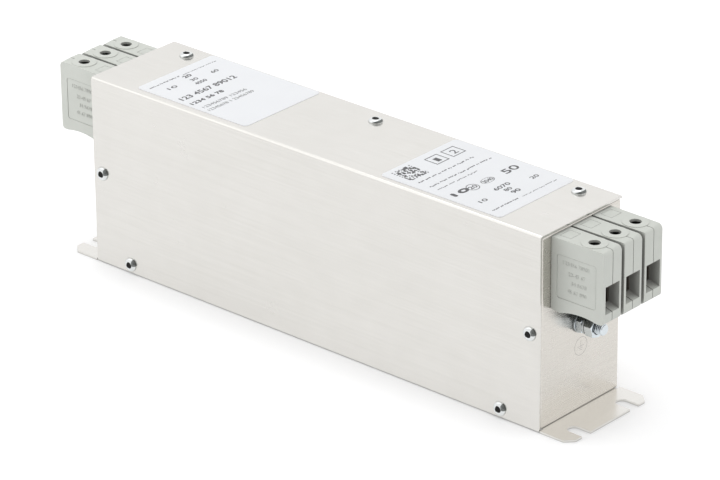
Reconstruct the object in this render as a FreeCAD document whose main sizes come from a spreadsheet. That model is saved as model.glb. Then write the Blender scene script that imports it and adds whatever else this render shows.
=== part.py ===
import FreeCAD, Part
import math
import os
import re
import Sketcher

# Three-phase line filter in a folded sheet steel case, millimetres.
# X runs from the line end (-) to the load end (+), Y from the front (-) to the back (+), Z up.
# The origin is the middle of the mounting plane, under the bottom plate.

SIZES = {
    # case
    "body_length": 240.0,
    "body_depth": 50.0,
    "body_height": 84.0,
    "steel": 1.0,
    "bend": 1.5,
    "panel_inset": 0.4,
    "foot_gap": 0.4,
    "cover_drop": 0.3,
    "cover_lip": 0.2,
    "front_flange": 10.0,
    "end_flange": 8.0,
    "rear_flange": 14.0,
    "corner_relief": 2.0,
    "rear_relief": 7.0,
    # bottom plate and its mounting tabs
    "tab_reach": 15.5,
    "tab_chamfer": 3.5,
    "slot_width": 5.4,
    "slot_depth": 8.7,
    "slot_pitch": 30.0,
    "plate_flange": 9.0,
    "plate_relief": 12.0,
    "tab_clearance": 0.3,
    # blind rivets
    "rivet_head_dia": 5.9,
    "rivet_head_tall": 1.4,
    "rivet_head_bevel": 0.9,
    "rivet_shank_dia": 3.2,
    "rivet_bore_dia": 2.3,
    "rivet_blind_dia": 4.8,
    "rivet_blind_tall": 2.2,
    "rivet_fit": 0.1,
    "side_rivet_inset": 5.0,
    "side_rivet_drop": 0.5,
    "low_rivet_inset": 19.7,
    "low_rivet_height": 4.2,
    "top_rivet_inset": 15.0,
    "top_rivet_back": 8.4,
    # labels
    "label_thick": 0.15,
    "label_corner": 2.0,
    "label_back": 1.0,
    "label_inset": 22.8,
    "line_label_long": 61.0,
    "line_label_deep": 45.3,
    "load_label_long": 61.2,
    "load_label_deep": 45.8,
    # terminal blocks, reaching outward from the face of the end panel, depths below the block's top
    "block_wide": 11.4,
    "block_pitch": 12.5,
    "block_reach": 25.6,
    "block_drop": 2.0,
    "block_nose": 3.0,
    "block_edge": 0.4,
    "heel_depth": 30.6,
    "toe_depth": 31.4,
    "toe_reach": 4.4,
    "arch_depth": 29.7,
    "arch_start": 10.0,
    "arch_end": 17.0,
    "sole_depth": 30.6,
    "sole_reach": 22.4,
    "chin": 1.6,
    "chin_rise": 1.1,
    "window_wide": 8.9,
    "window_floor": 26.1,
    "window_roof": 14.5,
    "funnel_deep": 5.2,
    "funnel_rise": 1.4,
    "funnel_drop": 0.6,
    "chamber_back": 10.5,
    "chamber_floor": 26.8,
    "chamber_roof": 6.0,
    "driver_hole_dia": 4.9,
    "screw_reach": 16.6,
    "recess_start": 2.9,
    "recess_end": 21.9,
    "recess_floor": 25.0,
    "recess_roof": 6.5,
    "recess_deep": 0.35,
    "neck_wide": 8.8,
    "neck_floor": 28.0,
    "neck_roof": 5.0,
    "neck_reach": 7.6,
    "neck_root": 1.0,
    "neck_fit": 0.3,
    "latch_thick": 1.8,
    "latch_step": 0.8,
    # clamp cage, screw and current bar
    "cage_wall": 0.9,
    "cage_fit": 0.15,
    "cage_long": 7.4,
    "cage_floor": 25.2,
    "cage_ceiling": 15.0,
    "cage_roof": 3.6,
    "clamp_screw_dia": 4.0,
    "clamp_head_dia": 4.6,
    "clamp_head_tall": 2.0,
    "clamp_head_depth": 6.4,
    "clamp_slot": 0.9,
    "thread_fit": 0.1,
    "bar_wide": 6.6,
    "bar_thick": 1.0,
    "bar_depth": 16.6,
    "bar_fit": 0.1,
    "bar_last_leg": 5.0,
    "bar_leg_pitch": 9.5,
    "tail_wide": 3.0,
    "tail_past": 0.9,
    "tail_fit": 0.15,
    # earth studs
    "stud_dia": 5.0,
    "stud_tip": 12.4,
    "stud_depth": 43.0,
    "stud_head_dia": 8.0,
    "stud_head_tall": 1.2,
    "stud_point": 0.5,
    "washer_dia": 9.0,
    "washer_thick": 1.1,
    "lock_nut_tall": 2.9,
    "lock_nut_turn": -27.0,
    "spring_dia": 8.4,
    "spring_thick": 1.1,
    "spring_slit": 0.8,
    "washer_fit": 0.2,
    "nut_flats": 8.0,
    "nut_tall": 4.0,
    "nut_turn": -15.0,
    # insulation and circuit board
    "sheet_thick": 0.4,
    "sheet_inset": 8.0,
    "sheet_low": 10.0,
    "sheet_headroom": 4.0,
    "standoff_flats": 5.5,
    "standoff_long": 4.4,
    "standoff_fit": 0.3,
    "standoff_edge": 4.0,
    "standoff_neck": 3.0,
    "standoff_cap_flats": 4.6,
    "standoff_cap_tall": 1.6,
    "board_thick": 1.6,
    "board_end_gap": 10.0,
    "board_low": 11.0,
    "board_headroom": 7.0,
    # common-mode chokes
    "choke_place": 35.0,
    "core_outer_dia": 56.0,
    "core_inner_dia": 32.0,
    "core_tall": 26.0,
    "wire_wide": 2.6,
    "wire_fit": 0.3,
    "turn_angle": 11.0,
    # capacitors and bleed resistors
    "cap_thick": 9.0,
    "cap_long": 18.0,
    "cap_tall": 17.0,
    "cap_lift": 9.0,
    "cap_edge": 0.8,
    "cap_last": 4.0,
    "cap_pitch": 11.0,
    "pin_side": 0.7,
    "cap_pin_pitch": 15.0,
    "pin_past": 0.8,
    "pin_fit": 0.1,
    "small_cap_long": 18.0,
    "small_cap_thick": 8.0,
    "small_cap_tall": 12.0,
    "small_cap_pins": 15.0,
    "small_cap_inset": 14.0,
    "small_cap_depth": 10.4,
    "resistor_dia": 4.0,
    "resistor_long": 11.0,
    "resistor_span": 15.0,
    "resistor_inset": 14.0,
    "resistor_depth": 14.4,
    "resistor_pitch": 5.0,
}

TURNS = 7
PHASES = 3
WHOLE_TURN = 360
FIRST_WINDING = 90
# Small round things get few sides here, and their finer shape comes with the looks.
SHANK_SIDES = 6
HEX_SIDES = 6
NEAR = 1e-4
BARREL_SIDES = 8
HEAD_SIDES = 16
CORE_SIDES = 24
ENDS = (("line", -1), ("load", 1))
HALVES = (("front", -1), ("rear", 1))

doc = FreeCAD.newDocument("line_filter")
sizes = doc.addObject("Spreadsheet::Sheet", "sizes")
for row, (word, amount) in enumerate(SIZES.items(), start=1):
    sizes.set("A%d" % row, word)
    sizes.set("B%d" % row, str(amount))
    sizes.setAlias("B%d" % row, word)
doc.recompute()


def tied(text):
    """Turn an expression in plain size names into one that the document can follow."""
    return re.sub(r"[a-z]+(?:_[a-z]+)*", lambda m: "sizes." + m[0] if m[0] in SIZES else m[0], text)


def value(text):
    """The number that an expression in size names has now."""
    return float(sizes.evalExpression(tied(text)))


def bind(thing, **expressions):
    for name, text in expressions.items():
        thing.setExpression(name, tied(text))


def place(thing, x="0", y="0", z="0", turn=0):
    """Set an object's place from expressions, turned about the vertical."""
    thing.Placement = FreeCAD.Placement(FreeCAD.Vector(0, 0, 0), FreeCAD.Rotation(FreeCAD.Vector(0, 0, 1), turn))
    for axis, text in (("x", x), ("y", y), ("z", z)):
        thing.setExpression(".Placement.Base." + axis, tied(text))


# Sketch and feature helpers


def new_body(name):
    body = doc.addObject("PartDesign::Body", name)
    body.Label = name
    return body


def new_sketch(body, name, plane, offset):
    sketch = body.newObject("Sketcher::SketchObject", body.Name + "_" + name)
    origin = [part for part in body.Origin.OriginFeatures if part.Role == plane + "_Plane"][0]
    sketch.AttachmentSupport = [(origin, "")]
    sketch.MapMode = "FlatFace"
    if offset:
        sketch.setExpression(".AttachmentOffset.Base.z", tied(offset))
    return sketch


def fix_point(sketch, geometry, point, label, x, y):
    """Hold one point of a sketch at a pair of expressions."""
    for kind, axis, text in (("DistanceX", "x", x), ("DistanceY", "y", y)):
        mark = sketch.addConstraint(Sketcher.Constraint(kind, -1, 1, geometry, point, value(text)))
        sketch.renameConstraint(mark, axis + label)
        sketch.setExpression("Constraints." + axis + label, tied(text))


def corner_point(x, y):
    return FreeCAD.Vector(value(x), value(y), 0)


def drawn_edge(start, end, middle=None):
    """A straight edge, or an arc through a middle point, and whether it is stored from start to end."""
    if middle is None:
        return Part.LineSegment(start, end), True
    bow = Part.Arc(start, middle, end).toShape().Curve
    forward = (middle - start).cross(end - middle).z > 0
    first, last = (start, end) if forward else (end, start)
    low = math.atan2(first.y - bow.Center.y, first.x - bow.Center.x)
    high = math.atan2(last.y - bow.Center.y, last.x - bow.Center.x)
    if high < low:
        high += 2 * math.pi
    circle = Part.Circle(bow.Center, FreeCAD.Vector(0, 0, 1), bow.Radius)
    return Part.ArcOfCircle(circle, low, high), forward


def add_polygon(sketch, corners):
    """A closed outline; a corner of four expressions is reached by an arc through its last two."""
    count = len(corners)
    base = sketch.GeometryCount
    forward = []
    for index, corner in enumerate(corners):
        start, end = corner_point(*corners[index - 1][:2]), corner_point(*corner[:2])
        middle = corner_point(*corner[2:]) if len(corner) == 4 else None
        edge, runs_forward = drawn_edge(start, end, middle)
        sketch.addGeometry(edge, False)
        forward.append(runs_forward)
    for index, corner in enumerate(corners):
        after = (index + 1) % count
        end_of_this = 2 if forward[index] else 1
        start_of_next = 1 if forward[after] else 2
        sketch.addConstraint(Sketcher.Constraint(
            "Coincident", base + index, end_of_this, base + after, start_of_next))
        fix_point(sketch, base + index, end_of_this, str(base + index), corner[0], corner[1])
    for index, corner in enumerate(corners):
        if len(corner) == 4:
            through = sketch.addGeometry(Part.Point(corner_point(*corner[2:])), True)
            fix_point(sketch, through, 1, "through%d" % through, corner[2], corner[3])
            sketch.addConstraint(Sketcher.Constraint("PointOnObject", through, 1, base + index))


def polygon(body, name, plane, corners, offset=None):
    sketch = new_sketch(body, name, plane, offset)
    add_polygon(sketch, corners)
    return sketch


def box_corners(low, high):
    (left, bottom), (right, top) = low, high
    return [(left, bottom), (right, bottom), (right, top), (left, top)]


def rectangle(body, name, plane, low, high, offset=None):
    return polygon(body, name, plane, box_corners(low, high), offset)


def regular_corners(x, y, across, sides):
    """The corners of a regular outline of a given width across its flats."""
    reach = "(%s)/2/cos(%g)" % (across, WHOLE_TURN / sides / 2)
    angles = [(step + 0.5) * WHOLE_TURN / sides for step in range(sides)]
    return [("%s + %s*cos(%g)" % (x, reach, angle), "%s + %s*sin(%g)" % (y, reach, angle)) for angle in angles]


def regular(body, name, plane, spots, across, sides=4, offset=None):
    """Regular outlines of one size, square unless told otherwise, each about its own centre."""
    sketch = new_sketch(body, name, plane, offset)
    for x, y in spots:
        add_polygon(sketch, regular_corners(x, y, across, sides))
    return sketch


def circles(body, name, plane, rounds, offset=None):
    """Round outlines, each given as centre x, centre y and diameter."""
    sketch = new_sketch(body, name, plane, offset)
    for index, (x, y, diameter) in enumerate(rounds):
        centre = FreeCAD.Vector(value(x), value(y), 0)
        sketch.addGeometry(Part.Circle(centre, FreeCAD.Vector(0, 0, 1), value(diameter) / 2), False)
        fix_point(sketch, index, 3, "%d" % index, x, y)
        mark = sketch.addConstraint(Sketcher.Constraint("Diameter", index, value(diameter)))
        sketch.renameConstraint(mark, "d%d" % index)
        sketch.setExpression("Constraints.d%d" % index, tied(diameter))
    return sketch


def pad(body, sketch, length, reverse=False, both=False):
    feature = body.newObject("PartDesign::Pad", sketch.Name + "_pad")
    feature.Profile = sketch
    bind(feature, Length=length)
    feature.Reversed = reverse
    feature.Midplane = both
    doc.recompute()
    return feature


def pocket(body, sketch, length, reverse=False, both=False):
    """Cut a sketch into its body, and stop if the cut met no material."""
    before = body.Tip.Shape.Volume
    feature = body.newObject("PartDesign::Pocket", sketch.Name + "_pocket")
    feature.Profile = sketch
    bind(feature, Length=length)
    feature.Reversed = reverse
    feature.Midplane = both
    doc.recompute()
    if not feature.Shape.Volume < before:
        raise ValueError(sketch.Name + " cuts nothing")
    return feature


def edges_where(feature, test):
    return ["Edge%d" % (index + 1) for index, edge in enumerate(feature.Shape.Edges) if test(edge)]


def along(edge, axis):
    """Whether a straight edge runs along x, y or z."""
    if not isinstance(edge.Curve, Part.Line):
        return False
    return abs(abs(getattr(edge.Curve.Direction, axis)) - 1) < 1e-6


def at(edge, **places):
    """Whether the whole edge lies at the given x, y or z."""
    box = edge.BoundBox
    for axis, place_value in places.items():
        low, high = getattr(box, axis.upper() + "Min"), getattr(box, axis.upper() + "Max")
        if abs(low - place_value) > NEAR or abs(high - place_value) > NEAR:
            return False
    return True


def dress(body, kind, size_name, size, test):
    """Fillet or chamfer the edges of the body's last feature that pass the test."""
    base = body.Tip
    names = edges_where(base, test)
    if not names:
        raise ValueError(body.Name + " has no edge to " + kind)
    feature = body.newObject("PartDesign::" + kind, "%s_%s_%d" % (body.Name, kind.lower(), len(body.Group)))
    feature.Base = (base, names)
    bind(feature, **{size_name: size})
    doc.recompute()
    return feature


def fillet(body, radius, test):
    return dress(body, "Fillet", "Radius", radius, test)


def chamfer(body, size, test):
    return dress(body, "Chamfer", "Size", size, test)


def group(name, template, placements):
    """Several separate copies of one solid in a single object, the template itself left out."""
    copies = [template.Shape.copy() for _ in placements]
    for copy, placement in zip(copies, placements):
        copy.Placement = placement.multiply(copy.Placement)
    feature = doc.addObject("Part::Feature", name)
    feature.Label = name
    feature.Shape = Part.makeCompound(copies)
    return feature


def facing(direction, x, y, z, spin=0):
    """A placement that spins a piece about its own Z, turns that Z to a direction and moves it to a place."""
    up = FreeCAD.Vector(0, 0, 1)
    turn = FreeCAD.Rotation(up, FreeCAD.Vector(*direction)).multiply(FreeCAD.Rotation(up, spin))
    return FreeCAD.Placement(FreeCAD.Vector(x, y, z), turn)


# Folded case


FRONT = "-body_depth/2"
BACK = "body_depth/2"
PANEL = "(body_length/2 - panel_inset)"
LAP_TOP = "(body_height - steel)"
SIDE_RIVETS = [(sign + "(body_length/2 - side_rivet_inset)", "body_height/2 - side_rivet_drop")
               for sign in ("-", "")]
LOW_RIVETS = [(sign + "(body_length/2 - low_rivet_inset)", "low_rivet_height") for sign in ("-", "")]
TOP_RIVETS = [("-(body_length/2 - top_rivet_inset)", "body_depth/2 - top_rivet_back"),
              ("0", "body_depth/2 - top_rivet_back"),
              ("body_length/2 - top_rivet_inset", "body_depth/2 - top_rivet_back")]
BLOCK_TOP = "(body_height - block_drop)"
STUD_HEIGHT = "(" + BLOCK_TOP + " - stud_depth)"
STUD_HOLE = "stud_dia + 2*thread_fit"
BAR_HEIGHT = "(" + BLOCK_TOP + " - bar_depth)"
BOARD_HALF = "(body_length/2 - board_end_gap)"
BOARD_HIGH = "(body_height - board_headroom)"
STANDOFF_COLUMN = "(" + BOARD_HALF + " - standoff_edge)"
STANDOFFS = [(column, level) for column in ("-" + STANDOFF_COLUMN, "0", STANDOFF_COLUMN)
             for level in ("board_low + standoff_edge", BOARD_HIGH + " - standoff_edge")]


def rivet_holes(body, name, plane, spots, depth, **how):
    """Holes for rivets, with as many sides as the rivets' shanks."""
    offset = how.pop("offset", None)
    outlines = regular(body, name, plane, spots, "rivet_shank_dia + 2*rivet_fit", SHANK_SIDES, offset)
    pocket(body, outlines, depth, **how)


def make_cover():
    """One folded sheet: the front with the top."""
    body = new_body("cover")
    section = polygon(body, "section", "YZ", [
        (FRONT, "cover_drop"), (FRONT + " + steel", "cover_drop"),
        (FRONT + " + steel", LAP_TOP), ("body_depth/2 - cover_lip", LAP_TOP),
        ("body_depth/2 - cover_lip", "body_height"), (FRONT, "body_height")])
    pad(body, section, "body_length", both=True)
    fillet(body, "bend", lambda e: at(e, y=value(FRONT), z=value("body_height")))
    fillet(body, "bend - steel", lambda e: at(e, y=value(FRONT + " + steel"), z=value(LAP_TOP)))
    rivet_holes(body, "front_holes", "XZ", SIDE_RIVETS + LOW_RIVETS, "3*steel",
                offset="body_depth/2 - 2*steel", reverse=True)
    rivet_holes(body, "top_holes", "XY", TOP_RIVETS, "3*steel", offset="body_height + steel")
    return body


def make_back_tray():
    """One folded sheet: the back with both end panels, and the flanges that carry the cover."""
    body = new_body("back_tray")
    inner_back = BACK + " - steel"
    flange_front = FRONT + " + steel"
    flange_back = FRONT + " + 2*steel"
    lip = PANEL + " - front_flange"
    inner = PANEL + " - steel"
    plan = polygon(body, "plan", "XY", [
        ("-(" + lip + ")", flange_front), ("-(" + lip + ")", flange_back),
        ("-(" + inner + ")", flange_back), ("-(" + inner + ")", inner_back),
        (inner, inner_back), (inner, flange_back), (lip, flange_back), (lip, flange_front),
        (PANEL, flange_front), (PANEL, BACK), ("-" + PANEL, BACK), ("-" + PANEL, flange_front)],
        offset="steel + foot_gap")
    pad(body, plan, LAP_TOP + " - bend - steel - foot_gap")
    outer_x, outer_y = value(PANEL), (value(flange_front), value(BACK))
    inner_x, inner_y = value(inner), (value(flange_back), value(inner_back))
    fillet(body, "bend", lambda e: along(e, "z") and any(
        at(e, x=sign * outer_x, y=y) for sign in (-1, 1) for y in outer_y))
    fillet(body, "bend - steel", lambda e: along(e, "z") and any(
        at(e, x=sign * inner_x, y=y) for sign in (-1, 1) for y in inner_y))
    rear = polygon(body, "rear_flange", "YZ", [
        (BACK, LAP_TOP + " - 2*bend"), (BACK, LAP_TOP), (BACK + " - rear_flange", LAP_TOP),
        (BACK + " - rear_flange", LAP_TOP + " - steel"), (inner_back, LAP_TOP + " - steel"),
        (inner_back, LAP_TOP + " - 2*bend")])
    pad(body, rear, "body_length - 2*rear_relief", both=True)
    fillet(body, "bend", lambda e: at(e, y=value(BACK), z=value(LAP_TOP)))
    fillet(body, "bend - steel", lambda e: along(e, "x") and at(e, y=value(inner_back), z=value(LAP_TOP + " - steel")))
    for name, sign in ENDS:
        side = "-" if sign < 0 else ""
        end = polygon(body, name + "_top_flange", "XZ", [
            (side + PANEL, LAP_TOP + " - 2*bend"), (side + PANEL, LAP_TOP),
            (side + "(" + PANEL + " - end_flange)", LAP_TOP),
            (side + "(" + PANEL + " - end_flange)", LAP_TOP + " - steel"),
            (side + "(" + inner + ")", LAP_TOP + " - steel"),
            (side + "(" + inner + ")", LAP_TOP + " - 2*bend")])
        pad(body, end, "body_depth - 2*(steel + corner_relief)", both=True)
        fillet(body, "bend", lambda e: along(e, "y") and at(e, x=sign * outer_x, z=value(LAP_TOP)))
        fillet(body, "bend - steel", lambda e: along(e, "y") and at(
            e, x=sign * inner_x, z=value(LAP_TOP + " - steel")))
    rivet_holes(body, "front_holes", "XZ", SIDE_RIVETS, "3*steel", offset="body_depth/2 - 3*steel", reverse=True)
    rivet_holes(body, "rear_holes", "XZ", LOW_RIVETS, "3*steel", offset="-body_depth/2 - steel", reverse=True)
    rivet_holes(body, "top_holes", "XY", TOP_RIVETS, "3*steel", offset="body_height")
    stud_hole = regular(body, "stud_holes", "YZ", [("0", STUD_HEIGHT)], STUD_HOLE, HEAD_SIDES)
    pocket(body, stud_hole, "2*body_length", both=True)
    for index in range(PHASES):
        middle = "(%d*block_pitch)" % (index - 1)
        window = rectangle(
            body, "cutout_%d" % (index + 1), "YZ",
            (middle + " - neck_wide/2 - neck_fit", BLOCK_TOP + " - neck_floor - neck_fit"),
            (middle + " + neck_wide/2 + neck_fit", BLOCK_TOP + " - neck_roof + neck_fit"))
        pocket(body, window, "2*body_length", both=True)
    return body


def make_bottom_plate():
    """The bottom with its upturned flanges and the two slotted mounting tabs."""
    body = new_body("bottom_plate")
    edge = "(body_depth/2 - steel)"
    trough = polygon(body, "section", "YZ", [
        ("-" + edge, "0"), (edge, "0"), (edge, "plate_flange"), (edge + " - steel", "plate_flange"),
        (edge + " - steel", "steel"), ("-(" + edge + " - steel)", "steel"),
        ("-(" + edge + " - steel)", "plate_flange"), ("-" + edge, "plate_flange")])
    pad(body, trough, "body_length - 2*plate_relief", both=True)
    outer, inner = value(edge), value(edge + " - steel")
    fillet(body, "bend", lambda e: along(e, "x") and at(e, z=0.0) and abs(abs(e.BoundBox.YMax) - outer) < NEAR)
    fillet(body, "bend - steel", lambda e: along(e, "x") and at(
        e, z=value("steel")) and abs(abs(e.BoundBox.YMax) - inner) < NEAR)
    floor = rectangle(body, "floor", "XY", ("-body_length/2 - tab_clearance", "-" + edge + " + bend"),
                      ("body_length/2 + tab_clearance", edge + " - bend"))
    pad(body, floor, "steel")
    for name, sign in ENDS:
        side = "-" if sign < 0 else ""
        start = side + "(body_length/2 + tab_clearance)"
        tip = side + "(body_length/2 + tab_reach)"
        low, high = sorted((start, tip), key=value)
        tab = rectangle(body, name + "_tab", "XY", (low, FRONT), (high, BACK))
        pad(body, tab, "steel")
    tip = value("body_length/2 + tab_reach")
    chamfer(body, "tab_chamfer", lambda e: along(e, "z") and abs(abs(e.BoundBox.XMax) - tip) < NEAR)
    for name, sign in ENDS:
        side = "-" if sign < 0 else ""
        root = side + "(body_length/2 + tab_reach - slot_depth + slot_width/2)"
        crown = side + "(body_length/2 + tab_reach - slot_depth)"
        mouth = side + "(body_length/2 + tab_reach + steel)"
        for number, row in enumerate(("-slot_pitch/2", "slot_pitch/2"), start=1):
            slot = polygon(body, "%s_slot_%d" % (name, number), "XY", [
                (mouth, row + " - slot_width/2"), (mouth, row + " + slot_width/2"),
                (root, row + " + slot_width/2"), (root, row + " - slot_width/2", crown, row)],
                offset="2*steel")
            pocket(body, slot, "3*steel")
    rivet_holes(body, "rivet_holes", "XZ", LOW_RIVETS, "2*body_depth", both=True)
    return body


def make_rivets():
    """Blind rivets: a bevelled head outside, an upset end behind the second sheet, a bore between."""
    body = new_body("rivet_pattern")
    centre = [("0", "0")]
    pad(body, regular(body, "head", "XY", centre, "rivet_head_dia", HEAD_SIDES), "rivet_head_tall")
    chamfer(body, "rivet_head_bevel", lambda e: at(e, z=value("rivet_head_tall")))
    shank = regular(body, "shank", "XY", centre, "rivet_shank_dia", SHANK_SIDES)
    pad(body, shank, "2*steel", reverse=True)
    upset = regular(body, "upset", "XY", centre, "rivet_blind_dia", SHANK_SIDES, offset="-2*steel")
    pad(body, upset, "rivet_blind_tall", reverse=True)
    bore = regular(body, "bore", "XY", centre, "rivet_bore_dia", SHANK_SIDES, offset="rivet_head_tall + steel")
    pocket(body, bore, "rivet_head_tall + 4*steel + rivet_blind_tall")
    front = [facing((0, -1, 0), value(x), value(FRONT), value(z)) for x, z in SIDE_RIVETS + LOW_RIVETS]
    top = [facing((0, 0, 1), value(x), value(y), value("body_height")) for x, y in TOP_RIVETS]
    rear = [facing((0, 1, 0), value(x), value(BACK), value(z)) for x, z in LOW_RIVETS]
    return [group("front_rivets", body, front), group("top_rivets", body, top), group("rear_rivets", body, rear)]


def make_label(end, sign):
    """A printed film label on the top of the cover, its outer edge tied to the cover's end."""
    body = new_body(end + "_label")
    back = "(body_depth/2 - label_back)"
    outer = "%d*(body_length/2 - label_inset)" % sign
    inner = "%d*(body_length/2 - label_inset - %s_label_long)" % (sign, end)
    low, high = sorted((outer, inner), key=value)
    outline = rectangle(body, "outline", "XY", (low, back + " - " + end + "_label_deep"), (high, back),
                        offset="body_height")
    pad(body, outline, "label_thick")
    fillet(body, "label_corner", lambda e: along(e, "z"))
    return body


# Terminals


def stand_at_panel(pattern, name, sign, index):
    """A copy of a piece modelled outward from an end panel, at one terminal's place."""
    feature = doc.addObject("Part::Feature", name)
    feature.Label = name
    feature.Shape = pattern.Shape.copy()
    place(feature, x="%d*%s" % (sign, PANEL), y="%d*block_pitch" % (index - 1), z=BLOCK_TOP,
          turn=0 if sign > 0 else WHOLE_TURN / 2)
    return feature


def mould_shell(name, side):
    """Half of a terminal's moulded block, from its seam to its outer side, with its top at height 0."""
    body = new_body(name)
    reverse = side > 0
    far = value("block_wide/2") * side
    profile = polygon(body, "profile", "XZ", [
        ("0", "-heel_depth"), ("toe_reach", "-toe_depth"), ("arch_start", "-arch_depth"),
        ("arch_end", "-arch_depth"), ("sole_reach", "-sole_depth"), ("block_reach - chin", "-sole_depth"),
        ("block_reach", "-sole_depth + chin_rise"), ("block_reach", "0"), ("0", "0")])
    pad(body, profile, "block_wide/2", reverse=reverse)
    fillet(body, "block_nose", lambda e: along(e, "y") and at(e, x=value("block_reach"), z=0.0))
    low = -value("sole_depth - chin_rise") - NEAR
    chamfer(body, "block_edge", lambda e: at(e, y=far) and not at(e, x=0.0) and e.BoundBox.ZMin > low)
    neck = rectangle(body, "neck", "XZ", ("-neck_reach", "-neck_floor"), ("neck_root", "-neck_roof"))
    pad(body, neck, "neck_wide/2", reverse=reverse)
    latch = rectangle(body, "latch", "XZ", ("-steel - neck_fit - latch_thick", "-neck_floor - latch_step"),
                      ("-steel - neck_fit", "-neck_roof + latch_step"))
    pad(body, latch, "neck_wide/2", reverse=reverse)
    funnel = polygon(body, "funnel", "XZ", [
        ("block_reach - funnel_deep", "-window_floor + funnel_rise"), ("block_reach", "-window_floor"),
        ("block_reach + steel", "-window_floor"), ("block_reach + steel", "-window_roof"),
        ("block_reach", "-window_roof"), ("block_reach - funnel_deep", "-window_roof - funnel_drop")])
    pocket(body, funnel, "window_wide/2", reverse=not reverse)
    chamber = rectangle(body, "chamber", "XZ", ("chamber_back", "-chamber_floor"),
                        ("block_reach - funnel_deep", "-chamber_roof"))
    pocket(body, chamber, "block_wide/2 - cage_wall - cage_fit", reverse=not reverse)
    hole = circles(body, "driver_hole", "XY", [("screw_reach", "0", "driver_hole_dia")], offset="steel")
    pocket(body, hole, "chamber_roof + 2*steel")
    slot = rectangle(body, "bar_slot", "XZ", ("-neck_reach - steel", "-bar_depth - bar_fit"),
                     ("chamber_back + steel", "-bar_depth + bar_thick + bar_fit"))
    pocket(body, slot, "bar_wide/2 + bar_fit", reverse=not reverse)
    recess = rectangle(body, "recess", "XZ", ("recess_start", "-recess_floor"), ("recess_end", "-recess_roof"),
                       offset="%d*block_wide/2" % -side)
    pocket(body, recess, "recess_deep", reverse=reverse)
    return body


def make_cage_pattern():
    """The steel clamp cage that the wire goes into, with the thread in its roof."""
    body = new_body("cage_pattern")
    outer = "(block_wide/2 - cage_wall - 2*cage_fit)"
    start = "(screw_reach - cage_long/2)"
    block = rectangle(body, "outline", "YZ", ("-" + outer, "-cage_floor - cage_wall"),
                      (outer, "-cage_ceiling + cage_roof"), offset=start)
    pad(body, block, "cage_long")
    chamfer(body, "cage_wall/2", lambda e: along(e, "x"))
    opening = rectangle(body, "opening", "YZ", ("-(" + outer + " - cage_wall)", "-cage_floor"),
                        (outer + " - cage_wall", "-cage_ceiling"))
    pocket(body, opening, "2*block_reach", reverse=True)
    thread = regular(body, "thread", "XY", [("screw_reach", "0")], "clamp_screw_dia + 2*thread_fit",
                     SHANK_SIDES, offset="-cage_ceiling + 2*cage_roof")
    pocket(body, thread, "2*cage_roof + steel")
    return body


def make_clamp_screws(end, sign):
    """Slotted clamp screws, each with its tip on the current bar."""
    body = new_body(end + "_clamp_screw_pattern")
    tip = "(-bar_depth + bar_thick)"
    neck = "(-clamp_head_depth - clamp_head_tall)"
    centre = [("0", "0")]
    shank = regular(body, "shank", "XY", centre, "clamp_screw_dia", SHANK_SIDES, offset=tip)
    pad(body, shank, neck + " - " + tip)
    pad(body, regular(body, "head", "XY", centre, "clamp_head_dia", HEAD_SIDES, offset=neck), "clamp_head_tall")
    slot = rectangle(body, "slot", "XY", ("-clamp_head_dia", "-clamp_slot/2"), ("clamp_head_dia", "clamp_slot/2"),
                     offset="-clamp_head_depth + steel")
    pocket(body, slot, "steel + clamp_head_tall/2")
    reach = sign * value(PANEL + " + screw_reach")
    pitch = value("block_pitch")
    spots = [facing((0, 0, 1), reach, (index - 1) * pitch, value(BLOCK_TOP)) for index in range(PHASES)]
    return group(end + "_clamp_screws", body, spots)


def bar_leg(index):
    """How far from the middle a phase's bar turns to the board."""
    return "(%s - bar_last_leg - %d*bar_leg_pitch)" % (BOARD_HALF, PHASES - 1 - index)


def make_bar(end, sign, index):
    """A stamped copper bar from the clamp, through the panel, to its place on the board."""
    body = new_body("%s_current_bar_%d" % (end, index + 1))
    row = "(%d*block_pitch)" % (index - 1)
    leg = bar_leg(index)
    board = "(" + BOARD_FRONT + ")"
    corners = [
        (PANEL + " + block_reach - funnel_deep - steel", row + " - bar_wide/2"),
        (PANEL + " + block_reach - funnel_deep - steel", row + " + bar_wide/2"),
        (leg + " + bar_wide/2", row + " + bar_wide/2"), (leg + " + bar_wide/2", board),
        (leg + " + tail_wide/2", board), (leg + " + tail_wide/2", board + " + board_thick + tail_past"),
        (leg + " - tail_wide/2", board + " + board_thick + tail_past"), (leg + " - tail_wide/2", board),
        (leg + " - bar_wide/2", board), (leg + " - bar_wide/2", row + " - bar_wide/2")]
    outline = polygon(body, "outline", "XY", [("%d*(%s)" % (sign, x), y) for x, y in corners], offset=BAR_HEIGHT)
    pad(body, outline, "bar_thick")
    return body


# Earth studs


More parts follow.
